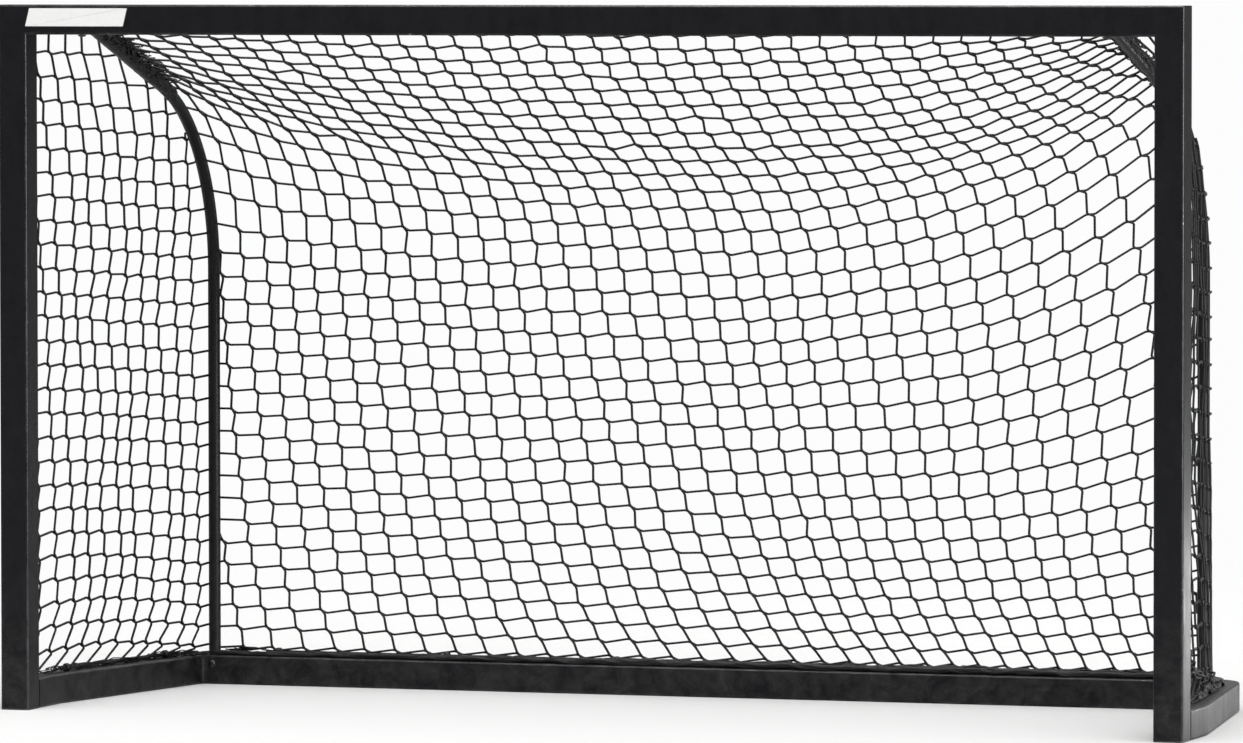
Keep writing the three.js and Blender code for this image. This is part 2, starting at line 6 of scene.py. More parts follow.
import bmesh
import bpy
from bpy.props import FloatProperty, FloatVectorProperty, IntProperty, PointerProperty
from bpy.types import Operator, Panel, PropertyGroup
from mathutils import Matrix, Vector, noise


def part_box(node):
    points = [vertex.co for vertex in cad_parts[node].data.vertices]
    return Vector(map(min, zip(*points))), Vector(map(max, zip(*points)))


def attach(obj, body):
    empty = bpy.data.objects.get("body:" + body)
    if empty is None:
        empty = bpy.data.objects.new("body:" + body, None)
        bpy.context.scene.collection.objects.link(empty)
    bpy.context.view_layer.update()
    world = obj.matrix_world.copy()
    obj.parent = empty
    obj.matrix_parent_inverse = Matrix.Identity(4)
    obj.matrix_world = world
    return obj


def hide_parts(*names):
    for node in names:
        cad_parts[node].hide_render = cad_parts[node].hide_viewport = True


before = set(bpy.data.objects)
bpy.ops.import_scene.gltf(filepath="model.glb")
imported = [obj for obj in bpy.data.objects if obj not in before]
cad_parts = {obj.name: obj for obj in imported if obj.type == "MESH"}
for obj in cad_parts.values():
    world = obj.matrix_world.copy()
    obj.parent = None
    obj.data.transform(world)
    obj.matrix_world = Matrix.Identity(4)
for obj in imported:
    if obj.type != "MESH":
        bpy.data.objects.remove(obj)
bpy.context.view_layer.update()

bl_info = {
    "name": "Floorball goal",
    "version": (1, 0, 0),
    "blender": (4, 5, 0),
    "location": "View3D > Sidebar > Goal",
    "description": "Builds a floorball goal with its tubes, arches, net, screws and stage",
    "category": "Object",
}

POST_LOW, POST_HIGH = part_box("left_post")
SIDE_RAIL_LOW, SIDE_RAIL_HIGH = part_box("left_side_rail")
REAR_RAIL_LOW, REAR_RAIL_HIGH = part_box("rear_rail")
ARCH_LOW, ARCH_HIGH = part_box("left_arch")
LABEL_LOW, LABEL_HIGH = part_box("label_plate")
REAR_ROD_LOW, REAR_ROD_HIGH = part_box("rear_rail_net_rod")
TOP_ROD_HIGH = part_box("crossbar_net_rod")[1]
POST_ROD_LOW, POST_ROD_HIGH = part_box("left_post_net_rod")

FRONT = POST_LOW.y
X_WAY, Y_WAY, Z_WAY = Vector((1, 0, 0)), Vector((0, 1, 0)), Vector((0, 0, 1))
SIDES = (("left", -1), ("right", 1))

# Small sizes of the frame, in metres
SEAM_GAP = 0.0003
RAIL_EYES = 0.12, 0.78  # shares of a side rail where its eyes start and end
EYE_OUTER, EYE_BORE, EYE_WIDTH = 0.005, 0.0023, 0.007
WELD_INSET, WELD_WIDTH = 0.0012, 0.0009
ARCH_DROP, ARCH_TIP = 0.004, 0.018  # where the arch enters the crossbar, and how far it reaches
ROD_MARGIN, ROD_HOOK = 0.016, 0.009
LABEL_LEAN, LABEL_CORNER, LABEL_RIM, LABEL_EXTRA = 0.0055, 0.0012, 0.0010, 0.0018
SAME_PLACE = 1e-6

# Small sizes of the netting
NET_RISE = 0.0016  # the net's lower edge above the rods on the rails
JOINT_CUT = 0.0013  # what each rounded corner takes of a cord
KNOT_STRAY = 0.012, 0.014, 0.0010  # how far the back's joints stray: columns, rows, metres outwards
SIDE_STRAY = 0.0018, 0.0007  # how far a side's joints stray: share of its width, metres down
REAR_MARGIN, SIDE_MARGIN = 0.004, 0.01  # shares of the widths at the edges without joints
REAR_SEED, SIDE_SEED = 11, 23  # for the random draws


def colour(name, default, description):
    return FloatVectorProperty(
        name=name, description=description, default=default, size=3, min=0, max=1, subtype="COLOR"
    )


def length(name, default, description):
    return FloatProperty(name=name, description=description, default=default, min=0, unit="LENGTH")


def count(name, default, description):
    return IntProperty(name=name, description=description, default=default, min=4)


class FLOORBALL_PG_frame(PropertyGroup):
    """Sizes of the tubes, arches and rods."""

    width: length("Mouth width", -2 * POST_LOW.x, "Outside width of the mouth")
    height: length("Height", 0.8, "Outside height of the mouth")
    depth: length(
        "Depth", REAR_RAIL_HIGH.y - FRONT, "From the mouth's front to the rear rail's back"
    )
    tube: length("Tube", 0.034, "Outside width of the square tube")
    tube_wall: length("Tube wall", 0.0015, "Wall of the square tube")
    tube_corner: length("Tube corner", 0.003, "Outside radius along the square tube's edges")
    corner_inset: length("Corner inset", 0.051, "How far the rear corners stand in from the posts")
    lead: length("Lead", 0.065, "Straight part of a side rail behind its post")
    lead_bend: length("Lead bend", 0.160, "Radius of the slight bend near the post")
    rear_bend: length("Rear bend", 0.024, "Radius of the bend at the rear corner")
    arch: length("Arch", ARCH_HIGH.x - ARCH_LOW.x, "Diameter of the arch tube")
    arch_wall: length("Arch wall", 0.0015, "Wall of the arch tube")
    arch_bend: length("Arch bend", 0.226, "Radius of the arch's bend")
    arch_rise: FloatProperty(
        name="Arch rise", description="Slope of the arch's upper part",
        default=math.radians(18), unit="ROTATION",
    )
    rod: length("Net rod", REAR_ROD_HIGH.z - REAR_ROD_LOW.z, "Diameter of the rods behind the net")
    eye_pitch: length("Eye pitch", 0.210, "Distance between the welded eyes")
    screw_head: length("Screw head", 0.0096, "Diameter of a screw's head")


class FLOORBALL_PG_net(PropertyGroup):
    """Sizes of the netting."""

    cord: length("Cord", 0.0029, "Diameter of one net cord")
    rear_columns: count("Rear columns", 36, "Meshes across the back")
    rear_rows: count("Rear rows", 35, "Meshes from the crossbar to the rear rail")
    side_reach: length("Side mesh width", 0.0515, "Width of a side mesh, along the net's run")
    side_mesh_height: length("Side mesh height", 0.0272, "Height of a mesh in the sides")
    joint: length("Joint", 0.0076, "Length across a knotless joint")


class FLOORBALL_PG_colours(PropertyGroup):
    """Colours of the finishes."""

    coat: colour("Coat", (0.0044, 0.0046, 0.0062), "Powder coat of the square tube")
    coat_worn: colour("Worn coat", (0.085, 0.088, 0.094), "Coat polished along the tube's edges")
    arch_coat: colour("Arch coat", (0.0048, 0.0050, 0.0062), "Coat of the arches")
    rod_coat: colour("Rod coat", (0.0105, 0.0105, 0.0120), "Coat of the net rods")
    zinc: colour("Zinc", (0.42, 0.43, 0.45), "Zinc plate of the sleeves")
    black_zinc: colour("Black zinc", (0.030, 0.030, 0.032), "Finish of the screws")
    plug: colour("Plug", (0.012, 0.012, 0.012), "Moulded plugs")
    cord: colour("Net cord", (0.0022, 0.0022, 0.0025), "Net cord")
    cord_faded: colour("Faded cord", (0.0066, 0.0065, 0.0064), "Net cord where it has faded")
    fibre: colour("Raw fibre", (0.52, 0.49, 0.40), "Frayed strands at the net's lower edge")
    label: colour("Label", (0.90, 0.90, 0.885), "Bare film of the label")
    label_edge: colour("Label edge", (0.010, 0.010, 0.011), "Thin line around the label")
    dust: colour("Dust", (0.30, 0.285, 0.26), "Dust that settles on top faces")
    floor: colour("Floor", (0.93, 0.93, 0.925), "Studio floor")


def sizes():
    return bpy.context.scene.floorball_frame


def net_sizes():
    return bpy.context.scene.floorball_net


def colours():
    return bpy.context.scene.floorball_colours


def clamp(value, low=0.0, high=1.0):
    return max(low, min(high, value))


def between(stops, at):
    """Value at a place between (place, value) stops."""
    for (low, value), (high, next_value) in zip(stops, stops[1:]):
        if at <= high:
            return value + (next_value - value) * max(0.0, at - low) / (high - low)
    return stops[-1][1]


# Shader nodes, and the surface groups that the finishes share


def scaled(base, factor):
    return tuple(factor * v for v in base)


class Nodes:
    """Adds linked nodes to one node tree; each method hands back the new node's output."""

    def __init__(self, tree):
        self.tree = tree
        self.places = {}

    def feed(self, socket, value):
        """Link a socket to another node's output, or set its own value."""
        if isinstance(value, bpy.types.NodeSocket):
            self.tree.links.new(value, socket)
        elif socket.type == "RGBA":
            socket.default_value = (*value[:3], 1.0)
        else:
            socket.default_value = value

    def add(self, kind, inputs=None, **settings):
        """Add a node and hand back all its outputs."""
        node = self.tree.nodes.new("ShaderNode" + kind)
        for key, value in settings.items():
            setattr(node, key, value)
        for key, value in (inputs or {}).items():
            self.feed(node.inputs[key], value)
        return node.outputs

    def group(self, name, fill):
        return self.add("Group", node_tree=shader_group(name, fill))

    def place(self, stretch=(1, 1, 1)):
        """The object's own coordinates, stretched."""
        if stretch not in self.places:
            own = self.add("TexCoord")["Object"]
            self.places[stretch] = self.add("Mapping", {"Vector": own, "Scale": stretch})[0]
        return self.places[stretch]

    def noise(self, scale, detail, roughness=0.5, distortion=0.0, stretch=(1, 1, 1)):
        return self.add("TexNoise", {
            "Vector": self.place(stretch), "Scale": scale, "Detail": detail,
            "Roughness": roughness, "Distortion": distortion,
        })["Fac"]

    def math(self, operation, first, second, clamped=False):
        return self.add("Math", {0: first, 1: second}, operation=operation, use_clamp=clamped)[0]

    def plus(self, first, second):
        return self.math("ADD", first, second)

    def times(self, first, second):
        return self.math("MULTIPLY", first, second)

    def spread(self, value, low, high, to_low=0.0, to_high=1.0):
        """The part of a value between low and high, stretched to another range."""
        return self.add("MapRange", {
            "Value": value, "From Min": low, "From Max": high, "To Min": to_low, "To Max": to_high,
        })["Result"]

    def mix(self, amount, first, second):
        """A colour between two others."""
        node = self.tree.nodes.new("ShaderNodeMix")
        node.data_type = "RGBA"
        for name, value in (("Factor", amount), ("A", first), ("B", second)):
            self.feed(next(s for s in node.inputs if s.enabled and s.name == name), value)
        return next(s for s in node.outputs if s.enabled)

    def mix_shaders(self, amount, first, second):
        return self.add("MixShader", {0: amount, 1: first, 2: second})[0]

    def height_of(self, vector):
        return self.add("SeparateXYZ", {0: vector})["Z"]

    def bump(self, height, strength, distance):
        return self.add(
            "Bump", {"Height": height, "Strength": strength, "Distance": distance}
        )["Normal"]


def shader_group(name, fill):
    """The named node group, filled when it is first asked for."""
    group = bpy.data.node_groups.get(name)
    if group is None:
        group = bpy.data.node_groups.new(name, "ShaderNodeTree")
        n = Nodes(group)
        values = fill(n)
        for output in values:
            group.interface.new_socket(output, in_out="OUTPUT", socket_type="NodeSocketFloat")
        end = group.nodes.new("NodeGroupOutput")
        for output, value in values.items():
            n.feed(end.inputs[output], value)
    return group


def powder_grain(n):
    """Fine orange peel and slow tone changes of a baked powder coat."""
    peel = n.noise(520, 2.0, 0.55)
    smears = n.noise(11, 5.0, 0.65, 0.8, stretch=(6, 6, 1.4))
    tone = n.plus(n.times(n.noise(9, 4.0, 0.6, 0.4), 0.6), n.times(smears, 0.4))
    rough = n.plus(smears, n.times(peel, 0.25))
    return {
        "Tone": n.spread(tone, 0.3, 0.7),
        "Roughness": n.spread(rough, 0.35, 0.9, 0.33, 0.52),
        "Height": n.plus(n.times(peel, 0.75), n.times(n.noise(2300, 1.0), 0.25)),
    }


def edge_wear(n):
    """Scuffs along the tube's rounded edges, where the coat is rubbed in use and in storage."""
    corner = n.add("Attribute", attribute_name="tube_corner")["Fac"]
    rub = n.noise(34, 5.0, 0.7, 0.3)
    nicks = n.times(n.math("POWER", corner, 3), n.spread(n.noise(190, 3.0, 0.6), 0.66, 0.72))
    return {
        "Worn": n.times(corner, n.spread(rub, 0.42, 0.72)),
        "Chips": n.times(nicks, n.spread(rub, 0.5, 0.6)),
        "Corner": corner,
    }


def settled_dust(n):
    """Floor dust: thickest on faces that look up and near the ground."""
    up = n.spread(n.height_of(n.add("NewGeometry")["Normal"]), 0.3, 1.0, 0.0, 0.5)
    low = n.spread(n.height_of(n.place()), 0.0, 0.16, 0.28, 0.03)
    cover = n.times(n.plus(up, low), n.spread(n.noise(46, 6.0, 0.7, 0.5), 0.36, 0.75))
    specks = n.spread(n.noise(900, 2.0, 0.6), 0.35, 0.65, 0.45, 1.0)
    return {"Dust": n.math("MULTIPLY", cover, specks, clamped=True)}


def cord_braid(n):
    """Braid relief and fading of the net cord."""
    fibre = n.noise(1500, 3.0, 0.7)
    wave = n.add(
        "TexWave", {"Vector": n.place(), "Scale": 260.0, "Distortion": 1.6, "Detail": 1.0},
        wave_type="BANDS", bands_direction="DIAGONAL",
    )["Fac"]
    return {
        "Fade": n.spread(n.noise(21, 4.0, 0.6), 0.42, 0.78, 0.0, 0.8),
        "Fibre": fibre,
        "Height": n.plus(n.times(wave, 0.7), n.times(fibre, 0.3)),
    }


def finish(name, fill):
    """The named material, filled when it is first asked for."""
    material = bpy.data.materials.get(name)
    if material is None:
        material = bpy.data.materials.new(name)
        material.use_nodes = True
        n = Nodes(material.node_tree)
        shader = material.node_tree.nodes["Principled BSDF"]
        for key, value in fill(n).items():
            n.feed(shader.inputs[key], value)
    return material


def powder_coat(name, base, bump):
    """A satin powder coat with orange peel, rubbed edges and a little dust."""

    def fill(n):
        c = colours()
        grain, wear = n.group("Powder grain", powder_grain), n.group("Edge wear", edge_wear)
        dust = n.group("Settled dust", settled_dust)["Dust"]
        tone = n.mix(grain["Tone"], scaled(base, 0.86), scaled(base, 1.28))
        rubbed = n.mix(n.times(wear["Worn"], 0.6), tone, c.coat_worn)
        chipped = n.mix(wear["Chips"], rubbed, c.zinc)
        rough = n.math("SUBTRACT", grain["Roughness"], n.times(wear["Corner"], 0.13))
        return {
            "Base Color": n.mix(n.times(dust, 0.55), chipped, c.dust),
            "Metallic": wear["Chips"],
            "Roughness": n.plus(rough, n.times(dust, 0.5)),
            "Specular IOR Level": 0.14,
            "Normal": n.bump(grain["Height"], 0.22, bump),
        }

    return finish(name, fill)


def tube_coat():
    return powder_coat("tube powder coat", colours().coat, 0.0004)


def zinc_plate(n):
    """Zinc plate with a drawn grain along the sleeve and dull patches."""
    zinc = colours().zinc
    drawn = n.noise(60, 4.0, 0.6, stretch=(3, 60, 60))
    patch = n.noise(70, 5.0, 0.6, 1.2)
    return {
        "Base Color": n.mix(n.spread(patch, 0.35, 0.7), zinc, scaled(zinc, 0.62)),
        "Metallic": n.spread(patch, 0.3, 0.7, 0.88, 1.0),
        "Roughness": n.spread(drawn, 0.3, 0.7, 0.26, 0.46),
        "Normal": n.bump(drawn, 0.25, 0.0002),
    }


def black_steel(n):
    """Black passivated steel, polished by the driver around the socket."""
    base = colours().black_zinc
    rub = n.noise(420, 4.0, 0.65)
    return {
        "Base Color": n.mix(n.spread(rub, 0.5, 0.75), base, scaled(base, 4.0)),
        "Metallic": 0.75,
        "Roughness": n.spread(rub, 0.3, 0.8, 0.44, 0.28),
        "Normal": n.bump(n.noise(1400, 2.0), 0.2, 0.0001),
    }


def plug_plastic(n):
    """Moulded black plastic with a fine spark texture and scuffs from the floor."""
    base = colours().plug
    scuff = n.noise(160, 5.0, 0.7, 0.6)
    dust = n.group("Settled dust", settled_dust)["Dust"]
    tone = n.mix(n.spread(scuff, 0.55, 0.75), base, scaled(base, 3.4))
    return {
        "Base Color": n.mix(n.times(dust, 0.5), tone, colours().dust),
        "Roughness": n.spread(scuff, 0.3, 0.8, 0.62, 0.44),
        "Normal": n.bump(n.noise(1700, 3.0, 0.6), 0.35, 0.0002),
    }


def black_cord(n):
    """Black braided cord: soft sheen, faded patches and fine fibres."""
    c = colours()
    braid = n.group("Cord braid", cord_braid)
    faded = n.mix(braid["Fade"], c.cord, c.cord_faded)
    flecks = n.spread(braid["Fibre"], 0.5, 0.8, 0.0, 0.35)
    return {
        "Base Color": n.mix(flecks, faded, scaled(c.cord_faded, 2.2)),
        "Roughness": n.spread(braid["Fibre"], 0.3, 0.75, 0.46, 0.68),
        "Specular IOR Level": 0.22,
        "Normal": n.bump(braid["Height"], 0.5, 0.0006),
    }


def frayed_fibre(n):
    """Pale raw fibre of a few frayed strands at the net's lower edge, grey where it is soiled."""
    fibre = colours().fibre
    braid = n.group("Cord braid", cord_braid)
    return {
        "Base Color": n.mix(braid["Fade"], fibre, scaled(fibre, 0.35)),
        "Roughness": n.spread(braid["Fibre"], 0.3, 0.75, 0.60, 0.85),
        "Normal": n.bump(braid["Height"], 0.6, 0.0005),
    }


def net_finishes():
    return [finish("braided net cord", black_cord), finish("frayed net fibre", frayed_fibre)]


def label_film(name, base, marked):
    """Plain printed film: faint fibre in the paper under it, thumb marks in its gloss."""

    def fill(n):
        marks = n.noise(85, 5.0, 0.6, 0.8)
        fibre = n.noise(800, 3.0, 0.6, stretch=(1, 1, 3))
        return {
            "Base Color": n.mix(n.spread(marks, 0.35, 0.75), base, scaled(base, marked)),
            "Roughness": n.spread(marks, 0.3, 0.7, 0.28, 0.4),
            "Coat Weight": 0.25,
            "Coat Roughness": 0.12,
            "Normal": n.bump(fibre, 0.08, 0.0002),
        }

    return finish(name, fill)


def pale_floor(n):
    pale = colours().floor
    return {
        "Base Color": n.mix(n.noise(60, 4.0, 0.6), pale, scaled(pale, 0.985)),
        "Roughness": 0.85,
        "Specular IOR Level": 0.15,
    }


# Tube drawing: a ring is extruded along each straight part and spun round each bend


def verts_of(edges):
    return {vert for edge in edges for vert in edge.verts}


def edges_of(verts):
    return list({edge for vert in verts for edge in vert.link_edges})


def only(kind, geometry):
    return [g for g in geometry if isinstance(g, kind)]


def bevel(bm, geom, offset, segments, affect="VERTICES"):
    bmesh.ops.bevel(
        bm, geom=geom, offset=offset, offset_type="OFFSET", segments=segments, profile=0.5,
        affect=affect, material=-1,
    )


def square_ring(bm, place):
    """A rounded square outline at `place`; its points carry how near they are to a tube corner."""
    size, corner = sizes().tube, sizes().tube_corner
    near_corner = bm.verts.layers.float.new("tube_corner")
    grid = bmesh.ops.create_grid(bm, x_segments=1, y_segments=1, size=size / 2)
    bevel(bm, grid["verts"], corner, 5)
    face = max(bm.faces, key=lambda f: len(f.verts))
    verts, edges = list(face.verts), list(face.edges)
    for vert in verts:
        inset = min(abs(vert.co.x), abs(vert.co.y)) - (size / 2 - corner)
        vert[near_corner] = clamp(inset / (corner * 0.62))
    bmesh.ops.delete(bm, geom=[face], context="FACES_ONLY")
    bmesh.ops.transform(bm, matrix=place, verts=verts)
    return edges


def round_ring(bm, radius, place, sides=32):
    ring = bmesh.ops.create_circle(bm, segments=sides, radius=radius)["verts"]
    bmesh.ops.transform(bm, matrix=place, verts=ring)
    return edges_of(ring)


def pull(bm, edges, way):
    """Extrude a ring straight on, and hand back the ring at the new end."""
    made = bmesh.ops.extrude_edge_only(bm, edges=edges)["geom"]
    verts = only(bmesh.types.BMVert, made)
    bmesh.ops.translate(bm, verts=verts, vec=way)
    fresh = set(verts)
    return [edge for edge in only(bmesh.types.BMEdge, made) if set(edge.verts) <= fresh]


def spin(bm, edges, centre, axis, angle, steps, merge=False):
    """Spin a ring round a bend, and hand back the ring at the new end."""
    made = bmesh.ops.spin(
        bm, geom=list(verts_of(edges)) + edges, cent=centre, axis=axis, angle=angle, steps=steps,
        use_merge=merge, use_normal_flip=False, use_duplicate=False,
    )
    return only(bmesh.types.BMEdge, made["geom_last"])


def facing(at, way, up):
    """A place at `at` whose own Z looks along `way` and whose own Y leans towards `up`."""
    z = way.normalized()
    x = up.cross(z).normalized()
    y = z.cross(x)
    return Matrix.Translation(at) @ Matrix((x, y, z)).transposed().to_4x4()


def draw_run(bm, edges, corners, radii, steps_a_turn):
    """Draw a ring along straight parts and round the bends between them."""
    here = corners[0]
    for before, corner, after, radius in zip(corners, corners[1:], corners[2:], radii):
        way_in, way_out = (corner - before).normalized(), (after - corner).normalized()
        angle = way_in.angle(way_out)
        axis = way_in.cross(way_out).normalized()
        tangent = radius * math.tan(angle / 2)
        start = corner - way_in * tangent
        edges = pull(bm, edges, start - here)
        steps = max(4, round(steps_a_turn * angle / (math.pi / 2)))
        edges = spin(bm, edges, start + axis.cross(way_in) * radius, axis, angle, steps)
        here = corner + way_out * tangent
    return pull(bm, edges, corners[-1] - here)


def make_hollow(bm, wall):
    """Turn an open tube's faces outwards, judged with its ends closed, and wall it inside."""
    bmesh.ops.remove_doubles(bm, verts=bm.verts[:], dist=SAME_PLACE)
    caps = bmesh.ops.holes_fill(bm, edges=bm.edges[:], sides=0)["faces"]
    bmesh.ops.recalc_face_normals(bm, faces=bm.faces[:])
    if bm.calc_volume(signed=True) < 0:
        bmesh.ops.reverse_faces(bm, faces=bm.faces[:])
    bmesh.ops.delete(bm, geom=caps, context="FACES_ONLY")
    top = max(vert.co.z for vert in bm.verts)
    bmesh.ops.solidify(bm, geom=bm.faces[:], thickness=wall)
    if max(vert.co.z for vert in bm.verts) > top + wall / 2:
        raise RuntimeError("the tube's wall went outwards")


def close_ends(bm):
    bmesh.ops.holes_fill(bm, edges=bm.edges[:], sides=0)
    bmesh.ops.recalc_face_normals(bm, faces=bm.faces[:])


def add_eye(bm, at, along):
    """A welded eye: a rounded wire band spun once around its rod's line."""
    side = Vector((0.3, 0.5, 0.8)).cross(along).normalized()
    thick = (EYE_OUTER - EYE_BORE) / 2
    shape = Matrix.Diagonal((EYE_WIDTH / 2, thick, 1, 1))
    turned = Matrix((along, side, along.cross(side))).transposed().to_4x4()
    place = Matrix.Translation(at + side * (EYE_BORE + thick)) @ turned @ shape
    spin(bm, round_ring(bm, 1.0, place, 12), at, along, math.tau, 20, merge=True)


def add_eye_row(bm, start, end):
    """Add a row of eyes with even spaces to a tube's bmesh."""
    spaces = max(1, round((end - start).length / sizes().eye_pitch))
    eyes = bmesh.new()
    for k in range(spaces + 1):
        add_eye(eyes, start.lerp(end, k / spaces), (end - start).normalized())
    bmesh.ops.remove_doubles(eyes, verts=eyes.verts[:], dist=SAME_PLACE)
    bmesh.ops.recalc_face_normals(eyes, faces=eyes.faces[:])
    mesh = mesh_from(eyes, "eyes")
    bm.from_mesh(mesh)
    bpy.data.meshes.remove(mesh)


def mesh_from(bm, name):
    mesh = bpy.data.meshes.new(name)
    bm.to_mesh(mesh)
    bm.free()
    return mesh


def in_scene(name, data):
    thing = bpy.data.objects.new(name, data)
    bpy.context.scene.collection.objects.link(thing)
    return thing


def new_piece(name, body, finishes, slot, *nodes):
    """Put a bmesh, or netting's mesh, on the goal's one body, in place of CAD nodes."""
    drawn = isinstance(body, bmesh.types.BMesh)
    mesh = mesh_from(body, name) if drawn else body
    piece = in_scene(name, mesh)
    for material in finishes:
        mesh.materials.append(material)
    mesh.polygons.foreach_set("use_smooth", [True] * len(mesh.polygons))
    if drawn:
        mesh.set_sharp_from_angle(angle=math.radians(40))
        piece.modifiers.new("even shading", "WEIGHTED_NORMAL").keep_sharp = True
    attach(piece, "root")
    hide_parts(*nodes)
    return piece


# Places on the goal


def arch_x():
    """How far the arches' middle lines stand from the goal's middle."""
    return -ARCH_LOW.x - sizes().arch / 2


def rod_lines():
    """The lines through the eyes, each from its first eye to its last."""
    s = sizes()
    half, tube = s.tube / 2, s.tube
    post_x, top_x = s.width / 2 - half, arch_x() - tube
    rear_x = REAR_RAIL_HIGH.x - tube + SEAM_GAP
    rod_y, rear_y = (POST_ROD_LOW.y + POST_ROD_HIGH.y) / 2, REAR_ROD_LOW.y + s.rod / 2
    top_z, base_z = TOP_ROD_HIGH.z - s.rod / 2, REAR_ROD_LOW.z + s.rod / 2
    lines = {
        "top": [Vector((x, rod_y, top_z)) for x in (-top_x, top_x)],
        "rear": [Vector((x, rear_y, base_z)) for x in (-rear_x, rear_x)],
    }
    for name, side in SIDES:
        x = side * post_x
        lines[name + "_post"] = [Vector((x, rod_y, z)) for z in (2 * tube, s.height - 2 * tube)]
        near = Vector((x, FRONT + tube + s.lead, base_z))
        far = Vector((side * (post_x - s.corner_inset), FRONT + s.depth - half, base_z))
        lines[name + "_rail"] = [near.lerp(far, share) for share in RAIL_EYES]
    return lines


def arch_corners(side):
    s = sizes()
    x, back, tip = side * arch_x(), ARCH_HIGH.y - s.arch / 2, FRONT + ARCH_TIP
    top_z = s.height - s.tube / 2 - ARCH_DROP
    slope = math.tan(s.arch_rise)
    knee_z, tip_z = (top_z + (FRONT + s.tube - y) * slope for y in (back, tip))
    return [Vector((x, back, ARCH_LOW.z)), Vector((x, back, knee_z)), Vector((x, tip, tip_z))]


def net_foot_z():
    return REAR_ROD_HIGH.z + NET_RISE


def arch_parts():
    """The arch's straight height above the net's lower edge, and the angle of its bend."""
    s = sizes()
    angle = math.pi / 2 - s.arch_rise
    return arch_corners(1)[1].z - s.arch_bend * math.tan(angle / 2) - net_foot_z(), angle


def arch_line(side, distance):
    """Point on the arch's middle line and its outward normal, `distance` up from the net's foot."""
    radius = sizes().arch_bend
    foot = arch_corners(side)[0]
    wall, angle = arch_parts()
    if distance <= wall:
        return Vector((foot.x, foot.y, net_foot_z() + distance)), Y_WAY.copy()
    turned = min(angle, (distance - wall) / radius)
    centre = Vector((foot.x, foot.y - radius, net_foot_z() + wall))
    out = Vector((0, math.cos(turned), math.sin(turned)))
    along = Vector((0, -math.sin(turned), math.cos(turned)))
    return centre + out * radius + along * max(0.0, distance - wall - radius * angle), out


def arch_run():
    """Length of the arch from the net's lower edge to the rod behind the crossbar."""
    s = sizes()
    wall, angle = arch_parts()
    bend_end_y = ARCH_HIGH.y - s.arch / 2 - s.arch_bend * (1 - math.cos(angle))
    roof = (bend_end_y - (POST_ROD_HIGH.y + 0.004)) / math.sin(angle)
    return wall + s.arch_bend * angle + roof


# Pieces of the frame


class FLOORBALL_OT_mouth(Operator):
    """Build the welded mouth: two posts and the crossbar, mitred at the top corners"""

    bl_idname = "floorball.mouth"
    bl_label = "Mouth"

    def execute(self, context):
        s = sizes()
        half = s.tube / 2
        post_x, mid_y = s.width / 2 - half, FRONT + half
        top, bottom = s.height - half, POST_LOW.z
        bm = bmesh.new()
        ring = square_ring(bm, facing(Vector((-post_x, mid_y, bottom)), Z_WAY, Y_WAY))
        ring = pull(bm, ring, Vector((0, 0, top - bottom)))
        for vert in verts_of(ring):
            vert.co.z -= vert.co.x + post_x
        ring = pull(bm, ring, Vector((2 * post_x, 0, 0)))
        for vert in verts_of(ring):
            vert.co.x = post_x + (vert.co.z - top)
        ring = pull(bm, ring, Vector((0, 0, bottom - top)))
        for vert in verts_of(ring):
            vert.co.z = bottom
        make_hollow(bm, s.tube_wall)
        self.add_welds(bm, post_x, mid_y, top)
        lines = rod_lines()
        for name in ("left_post", "right_post", "top"):
            add_eye_row(bm, *lines[name])
        new_piece(
            "mouth_frame", bm, [tube_coat()], "frame_coat", "left_post", "right_post", "crossbar"
        )
        return {"FINISHED"}

    def add_welds(self, bm, post_x, mid_y, top):
        """A narrow ground weld along each mitre, shown as a small chamfer on its outer edges."""
        outer = sizes().tube / 2 - WELD_INSET

        def on_mitre(vert):
            rise = vert.co.z - top
            far = max(abs(vert.co.y - mid_y), abs(rise))
            return abs(abs(vert.co.x) - post_x - rise) < 1e-5 and far > outer

        welds = [edge for edge in bm.edges if all(on_mitre(vert) for vert in edge.verts)]
        bevel(bm, welds, WELD_WIDTH, 2, "EDGES")


class FLOORBALL_OT_base(Operator):
    """Build the base: two bent side rails and the rear rail between their seams"""

    bl_idname = "floorball.base"
    bl_label = "Base rails"

    def execute(self, context):
        s = sizes()
        post_x, rail_y = s.width / 2 - s.tube / 2, FRONT + s.depth - s.tube / 2
        for name, side in SIDES:
            route = (
                (post_x, SIDE_RAIL_LOW.y), (post_x, FRONT + s.tube + s.lead),
                (post_x - s.corner_inset, rail_y), (-SIDE_RAIL_HIGH.x, rail_y),
            )
            self.add_rail(
                name + "_bent_rail", [(side * x, y) for x, y in route], [s.lead_bend, s.rear_bend],
                Y_WAY, name + "_rail", name + "_side_rail",
            )
        route = [(REAR_RAIL_LOW.x, rail_y), (REAR_RAIL_HIGH.x, rail_y)]
        self.add_rail("back_rail", route, [], X_WAY, "rear", "rear_rail")
        return {"FINISHED"}

    def add_rail(self, name, route, radii, way, line, node):
        """Draw a rail on the floor along its route, with the eyes of its rod's line."""
        corners = [Vector((x, y, sizes().tube / 2)) for x, y in route]
        bm = bmesh.new()
        draw_run(bm, square_ring(bm, facing(corners[0], way, Z_WAY)), corners, radii, 20)
        make_hollow(bm, sizes().tube_wall)
        add_eye_row(bm, *rod_lines()[line])
        new_piece(name, bm, [tube_coat()], "frame_coat", node)


